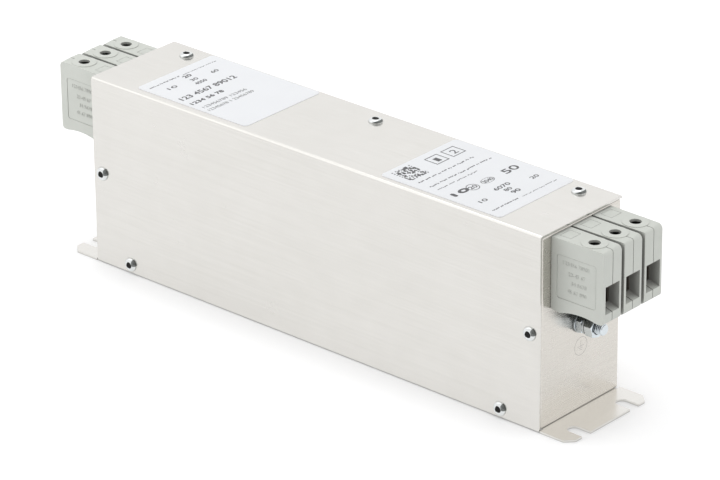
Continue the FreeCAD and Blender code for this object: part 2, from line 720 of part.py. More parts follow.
def make_earth_studs():
    """A stud on each end panel, held by a thin lock nut, with a spring washer and a nut for the earth lead."""
    centre = [("0", "0")]
    stud = new_body("stud_pattern")
    head = regular(stud, "head", "XY", centre, "stud_head_dia", HEAD_SIDES, offset="-steel - stud_head_tall")
    pad(stud, head, "stud_head_tall")
    pad(stud, regular(stud, "shank", "XY", centre, "stud_dia", HEAD_SIDES, offset="-steel"), "steel + stud_tip")
    chamfer(stud, "stud_point", lambda e: at(e, z=value("stud_tip")))
    washer = make_ring("washer_pattern", "washer_dia", "0", "washer_thick")
    lock_nut = make_nut("lock_nut_pattern", "washer_thick", "lock_nut_tall")
    spring_low = "washer_thick + lock_nut_tall"
    spring = make_ring("spring_pattern", "spring_dia", spring_low, "spring_thick")
    slit = rectangle(spring, "slit", "XY", ("0", "-spring_slit/2"), ("spring_dia", "spring_slit/2"),
                     offset=spring_low + " + 2*spring_thick")
    pocket(spring, slit, "3*spring_thick")
    nut = make_nut("nut_pattern", spring_low + " + spring_thick", "nut_tall")
    made = []
    for name, pattern, spin in (("earth_studs", stud, "0"), ("earth_flat_washers", washer, "0"),
                                ("earth_lock_nuts", lock_nut, "lock_nut_turn"),
                                ("earth_spring_washers", spring, "0"), ("earth_nuts", nut, "nut_turn")):
        spots = [facing((sign, 0, 0), sign * value(PANEL), 0, value(STUD_HEIGHT), value(spin)) for _, sign in ENDS]
        made.append(group(name, pattern, spots))
    return made


def make_nut(name, low, tall):
    """A hexagon nut with its lower face at a given height."""
    body = new_body(name)
    centre = [("0", "0")]
    pad(body, regular(body, "outline", "XY", centre, "nut_flats", HEX_SIDES, offset=low), tall)
    bore = regular(body, "bore", "XY", centre, STUD_HOLE, HEAD_SIDES, offset="%s + 2*(%s)" % (low, tall))
    pocket(body, bore, "3*(%s)" % tall)
    return body


def make_ring(name, outer, low, tall):
    """A washer with its lower face at a given height."""
    body = new_body(name)
    pad(body, regular(body, "outline", "XY", [("0", "0")], outer, HEAD_SIDES, offset=low), tall)
    bore = regular(body, "bore", "XY", [("0", "0")], "stud_dia + 2*washer_fit", HEAD_SIDES,
                   offset="%s + 2*(%s)" % (low, tall))
    pocket(body, bore, "3*(%s)" % tall)
    return body


# Board and the parts on it


INNER_BACK = "body_depth/2 - steel"
BOARD_FRONT = INNER_BACK + " - standoff_long - board_thick"


def make_insulating_sheet():
    """A film between the board's soldered side and the back, with holes for the spacers."""
    body = new_body("insulating_sheet")
    outline = rectangle(body, "outline", "XZ", ("-(body_length/2 - sheet_inset)", "sheet_low"),
                        ("body_length/2 - sheet_inset", "body_height - sheet_headroom"),
                        offset="-(" + INNER_BACK + ")")
    pad(body, outline, "sheet_thick")
    holes = regular(body, "holes", "XZ", STANDOFFS, "standoff_flats + 2*standoff_fit", HEX_SIDES)
    pocket(body, holes, "2*body_depth", both=True)
    return body


def make_board():
    """The circuit board, with the holes and slots that its parts go through."""
    body = new_body("circuit_board")
    outline = rectangle(body, "outline", "XZ", ("-" + BOARD_HALF, "board_low"), (BOARD_HALF, BOARD_HIGH),
                        offset="-(" + BOARD_FRONT + " + board_thick)")
    pad(body, outline, "board_thick")
    necks = regular(body, "spacer_holes", "XZ", STANDOFFS, "standoff_neck + 2*pin_fit")
    pocket(body, necks, "2*body_depth", both=True)
    for end, sign in ENDS:
        for index in range(PHASES):
            leg = "%d*%s" % (sign, bar_leg(index))
            slot = rectangle(body, "%s_slot_%d" % (end, index + 1), "XZ",
                             (leg + " - tail_wide/2 - tail_fit", BAR_HEIGHT + " - tail_fit"),
                             (leg + " + tail_wide/2 + tail_fit", BAR_HEIGHT + " + bar_thick + tail_fit"))
            pocket(body, slot, "2*body_depth", both=True)
    pins = list(SMALL_CAP_PINS)
    tails = []
    for index in range(PHASES):
        pins += resistor_pins(index)
        for _, sign in ENDS:
            pins += cap_pins(sign, index)
            tails += winding_tails(sign, index)
    pocket(body, regular(body, "pin_holes", "XZ", pins, "pin_side + 2*pin_fit"), "2*body_depth", both=True)
    holes = regular(body, "winding_holes", "XZ", tails, "wire_wide*sqrt(2) + 2*pin_fit")
    pocket(body, holes, "2*body_depth", both=True)
    return body


def cap_middle(sign, index):
    """How far along the board a phase's film capacitor stands."""
    return "%d*(%s - cap_last - %d*cap_pitch)" % (sign, BOARD_HALF, PHASES - 1 - index)


def cap_pins(sign, index):
    level = "board_low + cap_lift + cap_long/2 %s cap_pin_pitch/2"
    return [(cap_middle(sign, index), level % mark) for mark in ("-", "+")]


SMALL_CAP = (BOARD_HALF + " - small_cap_inset", BAR_HEIGHT + " - small_cap_depth")
SMALL_CAP_PINS = [("%s %s small_cap_pins/2" % (SMALL_CAP[0], mark), SMALL_CAP[1]) for mark in ("-", "+")]
RESISTOR_PLACE = "-(" + BOARD_HALF + " - resistor_inset)"


def resistor_level(index):
    return "%s - resistor_depth + %d*resistor_pitch" % (BAR_HEIGHT, index)


def resistor_pins(index):
    return [("%s %s resistor_span/2" % (RESISTOR_PLACE, mark), resistor_level(index)) for mark in ("-", "+")]


def turn_angles(winding):
    """The places of a winding's turns about its core, in degrees."""
    middle = FIRST_WINDING + WHOLE_TURN / PHASES * winding
    return [middle + (turn - (TURNS - 1) / 2) * value("turn_angle") for turn in range(TURNS)]


def winding_tails(sign, winding):
    """Where a winding's two ends go through the board."""
    spots = []
    angles = turn_angles(winding)
    reach = "(core_outer_dia/2 + wire_fit + wire_wide/2)"
    for angle in (angles[0], angles[-1]):
        spots.append(("%d*choke_place + %s*cos(%g)" % (sign, reach, angle),
                      "%s + %s*sin(%g)" % (CHOKE_HEIGHT, reach, angle)))
    return spots


def make_standoffs():
    """Moulded spacers between the back and the board, each with a neck through it and a cap over it."""
    body = new_body("standoff_pattern")
    centre = [("0", "0")]
    pad(body, regular(body, "post", "XY", centre, "standoff_flats", HEX_SIDES), "standoff_long")
    pad(body, regular(body, "neck", "XY", centre, "standoff_neck", offset="standoff_long"), "board_thick")
    cap = regular(body, "cap", "XY", centre, "standoff_cap_flats", HEX_SIDES, offset="standoff_long + board_thick")
    pad(body, cap, "standoff_cap_tall")
    spots = [facing((0, -1, 0), value(x), value(INNER_BACK), value(z)) for x, z in STANDOFFS]
    return group("board_standoffs", body, spots)


CHOKE_LOW = "(" + BOARD_FRONT + " - wire_wide - wire_fit)"
CHOKE_HEIGHT = "(board_low + " + BOARD_HIGH + ")/2"


def make_core(end, sign):
    """A ring core lying flat to the board, in its moulded case."""
    body = new_body(end + "_choke_core")
    centre = [("%d*choke_place" % sign, CHOKE_HEIGHT)]
    ring = regular(body, "outline", "XZ", centre, "core_outer_dia", CORE_SIDES, offset="-" + CHOKE_LOW)
    pad(body, ring, "core_tall")
    bore = regular(body, "bore", "XZ", centre, "core_inner_dia", CORE_SIDES)
    pocket(body, bore, "4*body_depth", both=True)
    return body


def make_winding(end, sign, winding):
    """Flat-laid turns of heavy wire round a third of the core, both ends down through the board."""
    wire, spare = value("wire_wide"), value("wire_fit")
    inner = value("core_inner_dia") / 2 - spare - wire
    outer = value("core_outer_dia") / 2 + spare + wire
    board = value(BOARD_FRONT)
    far = board - 2 * (wire + spare) - value("core_tall")
    window_start, window_end = inner + wire, outer - wire
    turns = []
    angles = turn_angles(winding)
    for angle in angles:
        ring = Part.makeBox(outer - inner, board - far, wire, FreeCAD.Vector(inner, far, -wire / 2))
        gap = Part.makeBox(window_end - window_start, board - far - 2 * wire, 2 * wire,
                           FreeCAD.Vector(window_start, far + wire, -wire))
        turn = ring.cut(gap)
        if angle in (angles[0], angles[-1]):
            tail_long = value("board_thick + tail_past")
            turn = turn.fuse(Part.makeBox(wire, tail_long, wire, FreeCAD.Vector(window_end, board, -wire / 2)))
        turn.rotate(FreeCAD.Vector(0, 0, 0), FreeCAD.Vector(0, 1, 0), -angle)
        turns.append(turn)
    coil = turns[0].multiFuse(turns[1:]).removeSplitter()
    feature = doc.addObject("Part::Feature", "%s_choke_winding_%d" % (end, winding + 1))
    feature.Label = feature.Name
    feature.Shape = coil
    place(feature, x="%d*choke_place" % sign, z=CHOKE_HEIGHT)
    doc.recompute()
    return feature


def make_capacitor(end, sign, index):
    """A boxed film capacitor between two phases."""
    body = new_body("%s_film_capacitor_%d" % (end, index + 1))
    middle = cap_middle(sign, index)
    box = rectangle(body, "outline", "XZ", (middle + " - cap_thick/2", "board_low + cap_lift"),
                    (middle + " + cap_thick/2", "board_low + cap_lift + cap_long"),
                    offset="-(" + BOARD_FRONT + ")")
    pad(body, box, "cap_tall")
    front = value(BOARD_FRONT + " - cap_tall")
    chamfer(body, "cap_edge", lambda e: along(e, "y") or at(e, y=front))
    add_pins(body, cap_pins(sign, index))
    return body


def add_pins(body, spots):
    pins = regular(body, "pins", "XZ", spots, "pin_side", offset="-(" + BOARD_FRONT + ")")
    pad(body, pins, "board_thick + pin_past", reverse=True)


def make_small_capacitor():
    """The capacitor from the star point to the case."""
    body = new_body("earth_capacitor")
    box = rectangle(body, "outline", "XZ",
                    (SMALL_CAP[0] + " - small_cap_long/2", SMALL_CAP[1] + " - small_cap_thick/2"),
                    (SMALL_CAP[0] + " + small_cap_long/2", SMALL_CAP[1] + " + small_cap_thick/2"),
                    offset="-(" + BOARD_FRONT + ")")
    pad(body, box, "small_cap_tall")
    front = value(BOARD_FRONT + " - small_cap_tall")
    chamfer(body, "cap_edge", lambda e: along(e, "y") or at(e, y=front))
    add_pins(body, SMALL_CAP_PINS)
    return body


def make_resistors():
    """Bleed resistors that empty the capacitors once the supply is off."""
    body = new_body("resistor_pattern")
    axis_height = "(resistor_dia/2)"
    barrel = regular(body, "barrel", "YZ", [("-" + axis_height, "0")], "resistor_dia", BARREL_SIDES)
    pad(body, barrel, "resistor_long", both=True)
    lead = regular(body, "lead", "YZ", [("-" + axis_height, "0")], "pin_side")
    pad(body, lead, "resistor_span + pin_side", both=True)
    feet = [(mark + "resistor_span/2", "0") for mark in ("-", "")]
    legs = regular(body, "legs", "XZ", feet, "pin_side", offset=axis_height)
    pad(body, legs, "resistor_dia/2 + board_thick + pin_past", reverse=True)
    spots = []
    for index in range(PHASES):
        middle = FreeCAD.Vector(value(RESISTOR_PLACE), value(BOARD_FRONT), value(resistor_level(index)))
        spots.append(FreeCAD.Placement(middle, FreeCAD.Rotation()))
    return group("bleed_resistors", body, spots)


# The whole filter


pieces = [make_cover(), make_back_tray(), make_bottom_plate()]
pieces += make_rivets()
pieces += [make_label(end_name, end_sign) for end_name, end_sign in ENDS]
moulds = {side: mould_shell("%s_mould" % word, side) for word, side in (("right", -1), ("left", 1))}
cage = make_cage_pattern()
for end_name, end_sign in ENDS:
    for phase in range(PHASES):
        terminal = "%s_terminal_%d_" % (end_name, phase + 1)
        for half_name, half_sign in HALVES:
            pieces.append(stand_at_panel(moulds[half_sign * end_sign], terminal + half_name, end_sign, phase))
        pieces.append(stand_at_panel(cage, terminal + "cage", end_sign, phase))
        pieces.append(make_bar(end_name, end_sign, phase))
    pieces.append(make_clamp_screws(end_name, end_sign))
pieces += make_earth_studs()
pieces += [make_insulating_sheet(), make_board(), make_standoffs()]
for end_name, end_sign in ENDS:
    pieces.append(make_core(end_name, end_sign))
    for phase in range(PHASES):
        pieces.append(make_winding(end_name, end_sign, phase))
        pieces.append(make_capacitor(end_name, end_sign, phase))
pieces += [make_small_capacitor(), make_resistors()]
doc.recompute()

for thing in doc.Objects:
    if "Invalid" in thing.State or "Error" in thing.State:
        raise RuntimeError(thing.Name + " did not build: " + ", ".join(thing.State))

os.makedirs("parts", exist_ok=True)
for piece in pieces:
    if piece.Shape.isNull() or not piece.Shape.isValid():
        raise RuntimeError(piece.Label + " has no valid shape")
    piece.Shape.exportStep("parts/" + piece.Label + ".step")
    print(piece.Label, len(piece.Shape.Solids), "solid, volume", round(piece.Shape.Volume, 1))
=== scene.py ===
# %% [markdown]
# # A three-phase line filter in a folded steel case
# The real object is a long box of bright sheet steel that sits on the floor of a control cabinet.
# Three mains wires go in at one end and come out, cleaned of noise, at the other.
# Each end has three moulded terminals, an earth stud and a slotted tab for the mounting screws.
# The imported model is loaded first, because every size and every place below comes from it.

import math
import random

import bmesh
import bpy
from mathutils import Matrix, Vector


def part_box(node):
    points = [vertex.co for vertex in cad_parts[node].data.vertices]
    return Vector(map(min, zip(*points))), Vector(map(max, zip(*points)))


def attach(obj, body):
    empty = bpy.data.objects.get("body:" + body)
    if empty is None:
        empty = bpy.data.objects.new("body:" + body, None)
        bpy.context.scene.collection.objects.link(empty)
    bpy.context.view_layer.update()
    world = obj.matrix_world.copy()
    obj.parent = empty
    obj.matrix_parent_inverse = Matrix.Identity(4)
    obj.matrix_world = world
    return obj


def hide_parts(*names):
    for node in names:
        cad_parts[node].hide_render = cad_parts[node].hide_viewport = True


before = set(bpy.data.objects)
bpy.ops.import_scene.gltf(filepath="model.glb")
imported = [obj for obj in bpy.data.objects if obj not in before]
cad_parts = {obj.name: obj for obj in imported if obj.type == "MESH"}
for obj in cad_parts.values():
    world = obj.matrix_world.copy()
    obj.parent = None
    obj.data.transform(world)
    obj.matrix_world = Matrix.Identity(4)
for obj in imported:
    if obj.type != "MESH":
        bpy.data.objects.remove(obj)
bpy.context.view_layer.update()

# %% [markdown]
# ## Measures
# Blender works in metres and the drawing in millimetres, so one factor turns the second into the first.
# The faces that the later pieces sit on are read from the imported model: the end panels, the cover,
# the top of the terminals and the floor that the bottom plate rests on.

# %% Read the faces that carry the other pieces
MM = 0.001
ENDS = (("line", -1), ("load", 1))
PHASES = (1, 2, 3)
cover_low, cover_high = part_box("cover")
tray_low, tray_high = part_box("back_tray")
block_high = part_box("load_terminal_2_rear")[1]
panel = tray_high.x
floor_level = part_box("bottom_plate")[0].z
cover_top = cover_high.z
block_top = block_high.z
print("panel at", round(panel / MM, 2), "mm, cover top at", round(cover_top / MM, 2), "mm")

# %% [markdown]
# ## The camera
# The photograph was taken with a long lens from the front and to the right, a little above.
# The angles, the distance and the focal length were solved from the corners of the case.
# A camera looks along its own minus Z, so the three directions below become the columns of its matrix.

# %% Set up the camera
IMAGE_WIDTH = 720
SENSOR_WIDTH = 36.0
VIEW_AZIMUTH = math.radians(41.7627)
VIEW_ELEVATION = math.radians(25.2375)
VIEW_ROLL = math.radians(-0.5736)
VIEW_DISTANCE = 1.77562
VIEW_END = 20.0
AIM_RIGHT = 0.0039428
AIM_UP = 0.0336131
FOCAL_PIXELS = 4350.99

level = math.cos(VIEW_ELEVATION)
forward = -Vector((math.sin(VIEW_AZIMUTH) * level, -math.cos(VIEW_AZIMUTH) * level, math.sin(VIEW_ELEVATION)))
side = forward.cross(Vector((0, 0, 1))).normalized()
upward = side.cross(forward)
tilted_side = side * math.cos(VIEW_ROLL) + upward * math.sin(VIEW_ROLL)
tilted_up = upward * math.cos(VIEW_ROLL) - side * math.sin(VIEW_ROLL)
eye = -forward * VIEW_DISTANCE + tilted_side * AIM_RIGHT + tilted_up * AIM_UP
camera_data = bpy.data.cameras.new("photo_camera")
camera_data.sensor_width = SENSOR_WIDTH
camera_data.lens = FOCAL_PIXELS * SENSOR_WIDTH / IMAGE_WIDTH
camera_data.clip_end = VIEW_END
camera = bpy.data.objects.new("photo_camera", camera_data)
axes = Matrix((tilted_side, tilted_up, -forward)).transposed()
camera.matrix_world = Matrix.Translation(eye) @ axes.to_4x4()
bpy.context.scene.collection.objects.link(camera)
bpy.context.scene.camera = camera
bpy.context.scene.view_settings.view_transform = "Standard"
print("lens", round(camera_data.lens, 1), "mm, eye at", [round(v, 3) for v in eye])

# %% [markdown]
# ## Mixing a finish
# A material is a net of small boxes, and long nets are hard to read.
# The class below lets a finish be written as ordinary sums: a Wire is one output of a box, and adding or
# multiplying Wires adds the Math boxes.

# %% Define the wires
NOISE_MIDDLE = 0.5


class Wire:
    """One output of a shader node that can be used in plain sums."""

    def __init__(self, paint, socket):
        self.paint = paint
        self.socket = socket

    def math(self, operation, first, second):
        """A Math node between two wires or numbers."""
        return self.paint.add("ShaderNodeMath", {"operation": operation}, {0: first, 1: second})

    def __add__(self, other):
        return self.math("ADD", self, other)

    def __sub__(self, other):
        return self.math("SUBTRACT", self, other)

    def __rsub__(self, other):
        return self.math("SUBTRACT", other, self)

    def __mul__(self, other):
        return self.math("MULTIPLY", self, other)

    __radd__ = __add__
    __rmul__ = __mul__

    def above(self, edge, soft):
        """0 below an edge and 1 above it, with a soft step between."""
        settings = {"interpolation_type": "SMOOTHSTEP"}
        inputs = {"Value": self, "From Min": edge - soft, "From Max": edge + soft}
        return self.paint.add("ShaderNodeMapRange", settings, inputs)

    def swing(self, size):
        """Noise from 0 to 1 as a change of the given size to both sides of nothing."""
        return (self - NOISE_MIDDLE) * size


print("wires can be added, subtracted and multiplied")

# %% [markdown]
# Paint holds the net of one material. Its first method puts in any box there is, and the others are
# short names for the boxes that the finishes of this case need again and again.

# %% Define the paint pot
COARSE, FINE, FINEST = 2.0, 3.0, 4.0
CREVICE_RAYS = 8
COLOUR_FACTOR, COLOUR_FIRST, COLOUR_SECOND, COLOUR_OUT = 0, 6, 7, 2


class Paint:
    """A node tree that is being filled, with one method for every kind of node."""

    def __init__(self, tree):
        self.tree = tree
        tree.nodes.clear()

    def add(self, kind, settings=None, inputs=None, out=0):
        """A node of any kind, with its settings and the values or wires of its sockets."""
        node = self.tree.nodes.new(kind)
        for name, setting in (settings or {}).items():
            setattr(node, name, setting)
        for key, value in (inputs or {}).items():
            if isinstance(value, Wire):
                self.tree.links.new(value.socket, node.inputs[key])
            else:
                node.inputs[key].default_value = value
        return Wire(self, node.outputs[out]) if len(node.outputs) else node

    def place(self, cell):
        """The point on the surface, counted in cells of the given size in metres."""
        point = self.add("ShaderNodeTexCoord", out="Object")
        counted = {0: point, 1: [1 / length for length in cell]}
        return self.add("ShaderNodeVectorMath", {"operation": "MULTIPLY"}, counted)

    def cloud(self, cell, detail=COARSE):
        """Soft random patches, 0 to 1, of the given size along x, y and z."""
        inputs = {"Vector": self.place(cell), "Scale": 1.0, "Detail": detail}
        return self.add("ShaderNodeTexNoise", None, inputs, out="Fac")

    def facing(self, vector, way):
        """How far a vector points a given way: 1 straight along it and 0 across it."""
        return self.add("ShaderNodeVectorMath", {"operation": "DOT_PRODUCT"}, {0: vector, 1: way}, out="Value")

    def open_air(self, reach):
        """1 in the open, and less where other surfaces stand within reach."""
        return self.add("ShaderNodeAmbientOcclusion", {"samples": CREVICE_RAYS}, {"Distance": reach}, out="AO")

    def rays(self):
        """1 for what the camera sees straight, and 1 for what it sees in metal or through glass."""
        straight, mirrored, refracted = [
            self.add("ShaderNodeLightPath", out="Is %s Ray" % kind) for kind in ("Camera", "Glossy", "Transmission")
        ]
        return straight, mirrored + refracted

    def blend(self, factor, *tones):
        """One colour going over into another; each is three numbers or a colour that is itself mixed."""
        first, second = [tone if isinstance(tone, Wire) else (*tone, 1.0) for tone in tones]
        inputs = {COLOUR_FACTOR: factor, COLOUR_FIRST: first, COLOUR_SECOND: second}
        return self.add("ShaderNodeMix", {"data_type": "RGBA"}, inputs, out=COLOUR_OUT)

    def relief(self, height, deep, strength=0.5):
        """A normal that tilts as if the surface had small hills of the given depth in metres."""
        return self.add("ShaderNodeBump", None, {"Height": height, "Distance": deep, "Strength": strength})

    def finish(self, **sockets):
        """The surface itself; a word such as Base_Color names a socket of the shader."""
        inputs = {name.replace("_", " "): value for name, value in sockets.items()}
        surface = self.add("ShaderNodeBsdfPrincipled", None, inputs)
        self.add("ShaderNodeOutputMaterial", None, {"Surface": surface})


def new_paint(name):
    """A new material and the paint pot that fills it."""
    material = bpy.data.materials.new(name)
    material.use_nodes = True
    return material, Paint(material.node_tree)


print("ready to mix finishes")

# %% [markdown]
# ## The floor
# The photograph has a plain white ground with only a soft shadow close to the case.
# A white floor alone would come out grey wherever the lamps are plain, so the floor gives back a little
# light of its own to the camera and to reflections, and keeps the shadow in the rest.
# Close under the case the glow is taken away again and the floor is darkened further. This is a painted shadow
# that grows as the case comes near, because that is where a real floor turns dark.

# %% Make the floor
FLOOR_HALF = 6.0
FLOOR_LIT = (0.80, 0.80, 0.805)
FLOOR_MIRRORED = (0.50, 0.50, 0.50)
WHITE = (1.0, 1.0, 1.0, 1.0)
GLOW_TO_CAMERA = 0.37
GLOW_IN_METAL = 0.49
CREVICE_REACH = 0.030
CREVICE_SHADE = 0.36

material, paint = new_paint("studio_floor")
camera_ray, mirrored = paint.rays()
# Painted shadow: near the case the floor's glow falls away and its light is taken down further.
lit = 1 - (1 - paint.open_air(CREVICE_REACH)) * CREVICE_SHADE
matt = paint.add("ShaderNodeBsdfDiffuse", None, {"Color": paint.blend(mirrored, FLOOR_LIT, FLOOR_MIRRORED)})
strength = camera_ray * (lit * GLOW_TO_CAMERA - (1 - lit) * FLOOR_LIT[0]) + mirrored * GLOW_IN_METAL
glow = paint.add("ShaderNodeEmission", None, {"Color": WHITE, "Strength": strength})
surface = paint.add("ShaderNodeAddShader", None, {0: matt, 1: glow})
paint.add("ShaderNodeOutputMaterial", None, {"Surface": surface})

mesh = bpy.data.meshes.new("studio_floor")
corners = [(x * FLOOR_HALF, y * FLOOR_HALF, floor_level) for x, y in ((-1, -1), (1, -1), (1, 1), (-1, 1))]
mesh.from_pydata(corners, [], [(0, 1, 2, 3)])
mesh.materials.append(material)
floor = bpy.data.objects.new("studio_floor", mesh)
bpy.context.scene.collection.objects.link(floor)
print("floor at height", floor_level)

# %% [markdown]
# ## The sky
# The sky is white for the camera and for the metal, and a little weaker as a lamp, so that the paints
# come out about as they are written. One soft patch of it, behind the camera and a little to its right,
# is darker in reflections: a real studio is dark there too, and bright metal needs something dark to
# mirror to show its shape.

# %% Make the sky
SKY_LAMP = 0.64
SKY_SEEN = 1.0
SKY_SHADE = 0.40
SHADE_EDGE = 0.84
SHADE_SOFT = 0.08
SHADE_TOWARDS = (0.80, -0.57, 0.18)

world = bpy.data.worlds.new("studio_sky")
bpy.context.scene.world = world
world.use_nodes = True
paint = Paint(world.node_tree)
turned_to = paint.facing(paint.add("ShaderNodeTexCoord", out="Generated"), SHADE_TOWARDS)
camera_ray, mirrored = paint.rays()
seen = SKY_SEEN * (1 - turned_to.above(SHADE_EDGE, SHADE_SOFT) * SKY_SHADE)
strength = SKY_LAMP + camera_ray * (SKY_SEEN - SKY_LAMP) + mirrored * (seen - SKY_LAMP)
sky = paint.add("ShaderNodeBackground", None, {"Color": WHITE, "Strength": strength})
paint.add("ShaderNodeOutputWorld", None, {"Surface": sky})
print("sky seen at", SKY_SEEN, "and lighting at", SKY_LAMP)

# %% [markdown]
# ## The lamps
# Large round lamps give the soft even light of a product photograph. A lamp that metal can mirror is
# added to the white sky behind it, which would burn out every bend that happens to point at it. So the
# two side lamps light the case without being mirrored, and one weak card stands for them in the metal.

# %% Hang the lamps
LAMPS = (
    # name, place, size, power, seen in metal
    ("overhead_softbox", (-0.5, 0.35, 1.9), 1.5, 6.0, True),
    ("left_softbox", (-0.75, -0.60, 0.50), 1.25, 4.4, False),
    ("right_softbox", (1.7, -0.25, 1.1), 1.2, 7.0, False),
    ("edge_card", (-0.66, -0.48, 0.73), 0.8, 0.45, True),
)
for name, spot, size, power, mirrored_too in LAMPS:
    lamp = bpy.data.lights.new(name, "AREA")
    lamp.shape = "DISK"
    lamp.size = size
    lamp.energy = power
    hung = bpy.data.objects.new(name, lamp)
    hung.visible_glossy = mirrored_too
    hung.location = spot
    hung.rotation_euler = (-Vector(spot)).to_track_quat("-Z", "Y").to_euler()
    bpy.context.scene.collection.objects.link(hung)
    print(name, power, "W")

# %% [markdown]
# ## Bright sheet steel
# The case is cold-rolled sheet: almost a mirror up close, but veiled by the fine scratches that the
# rollers leave along the sheet, so that it mirrors only what is very near it.
# The grain is noise drawn out nearly a hundred times in one direction. It changes the roughness and
# tilts the surface a little. Broad soft patches, smudges and rubs stand for handling marks. In the creases,
# where two sheets meet, the colour is darkened: painted shade that stands in for the shadow there.

# %% Mix the sheet steel
GRAIN_ACROSS = 0.25 * MM
GRAIN_ALONG = 22 * MM
STREAK_TIMES = 3
PATCH_CELL = (45 * MM, 45 * MM, 30 * MM)
CLOUD_CELL = (9 * MM, 9 * MM, 7 * MM)
SMUDGE_CELL = (16 * MM, 16 * MM, 11 * MM)
RUB_CELL = (30 * MM, 3 * MM, 3 * MM)
WEAR_PATCHES, WEAR_CLOUDS = 0.6, 0.4
TONE_WEAR, TONE_GRAIN, TONE_STREAKS, TONE_BASE = 0.9, 0.6, 0.5, 0.05
ROUGH_GRAIN, ROUGH_PATCHES, ROUGH_SMUDGES, ROUGH_RUBS = 0.10, 0.06, 0.06, 0.03
HILL_GRAIN, HILL_CLOUDS = 0.4, 0.6
HILL_DEEP = 0.002 * MM
HILL_STRENGTH = 0.35
TONE_STEP = (0.5, 0.42)
SMUDGE_STEP = (0.7, 0.06)
RUB_STEP = (0.66, 0.05)
CREASE_REACH = 1.6 * MM
CREASE_STEP = (0.60, 0.22)
CREASE_SHADE_TONE = 0.64


def sheet_steel(name, along, light, dark, rough):
    """Rolled steel with its grain along one axis."""
    material, paint = new_paint(name)
    cell = [GRAIN_ALONG if axis == along else GRAIN_ACROSS for axis in "xyz"]
    grain = paint.cloud(cell, FINE)
    streaks = paint.cloud([length * STREAK_TIMES for length in cell])
    patches = paint.cloud(PATCH_CELL, FINE)
    clouds = paint.cloud(CLOUD_CELL, FINEST)
    smudge = paint.cloud(SMUDGE_CELL).above(*SMUDGE_STEP)
    rub = paint.cloud(RUB_CELL).above(*RUB_STEP)
    worn = patches * WEAR_PATCHES + clouds * WEAR_CLOUDS
    tone = worn * TONE_WEAR + grain.swing(TONE_GRAIN) + streaks.swing(TONE_STREAKS) + TONE_BASE
    roughness = (rough + grain.swing(ROUGH_GRAIN) + patches.swing(ROUGH_PATCHES)
                 + smudge * ROUGH_SMUDGES + rub * ROUGH_RUBS)
    height = grain * HILL_GRAIN + clouds * HILL_CLOUDS
    # Painted shade: the colour goes darker where other surfaces stand within the crease reach.
    crease_shade_colour = [channel * CREASE_SHADE_TONE for channel in dark]
    rolled = paint.blend(tone.above(*TONE_STEP), dark, light)
    colour = paint.blend(paint.open_air(CREASE_REACH).above(*CREASE_STEP), crease_shade_colour, rolled)
    paint.finish(Base_Color=colour, Metallic=1.0, Roughness=roughness,
                 Normal=paint.relief(height, HILL_DEEP, HILL_STRENGTH))
    return material


STEELS = {
    # name: the grain's direction, light tone, dark tone, roughness
    "cover_steel": ("x", (0.825, 0.81, 0.78), (0.765, 0.75, 0.715), 0.22),
    "tray_steel": ("y", (0.815, 0.785, 0.735), (0.755, 0.725, 0.675), 0.27),
    "plate_steel": ("y", (0.855, 0.84, 0.81), (0.80, 0.785, 0.75), 0.24),
}
cover_steel, tray_steel, plate_steel = [sheet_steel(name, *values) for name, values in STEELS.items()]
print("sheets of steel mixed:", len(STEELS))

# %% [markdown]
# ## Terminal plastic
# The terminals are moulded in a pale grey plastic with a fine matt texture. The light of a white studio
# reaches further into the gaps between them than it does in the photograph. Fewer lamps would darken
# the faces too, so the colour itself goes over into a dark grey wherever other surfaces are near.

# %% Mix the terminal plastic
PLASTIC_TONES = ((0.61, 0.63, 0.585), (0.655, 0.675, 0.63))
PLASTIC_SHADE = (0.25, 0.25, 0.235)
PLASTIC_REACH = 15 * MM
PLASTIC_STEP = (0.46, 0.28)
PLASTIC_ROUGH, PLASTIC_WANDER = 0.46, 0.08
PLASTIC_GRAIN = 0.22 * MM
PLASTIC_DEEP = 0.006 * MM
PATCH_SIZE = 12 * MM
MIX_PATCHES, MIX_GRAIN = 0.6, 0.4
MIX_STEP = (0.5, 0.3)


def even(size):
    """A cell of the same size along all three axes."""
    return (size, size, size)


terminal_plastic, paint = new_paint("terminal_plastic")
grain, patches = paint.cloud(even(PLASTIC_GRAIN), FINE), paint.cloud(even(PATCH_SIZE), FINE)
moulded = paint.blend((patches * MIX_PATCHES + grain * MIX_GRAIN).above(*MIX_STEP), *PLASTIC_TONES)
colour = paint.blend(paint.open_air(PLASTIC_REACH).above(*PLASTIC_STEP), PLASTIC_SHADE, moulded)
paint.finish(Base_Color=colour, Roughness=PLASTIC_ROUGH + grain.swing(PLASTIC_WANDER),
             Normal=paint.relief(grain, PLASTIC_DEEP))
print("plastic mixed from", PLASTIC_SHADE, "in the gaps to", PLASTIC_TONES[1], "in the open")

# %% [markdown]
# ## Polished rivets and bright zinc
# The rivet heads are polished domes that mirror the whole room. In the photograph the part that looks
# up and to the right is dark, like a small mirror turned to a dark corner. That wedge is a painted
# reflection in the colour: it follows the direction of the surface, so it stays on the rivet from every side.
# The zinc on the stud and its nuts is just as bright in the open. Its colour goes dark where nuts, washers
# and terminals crowd together, as painted shade for the shadow there.

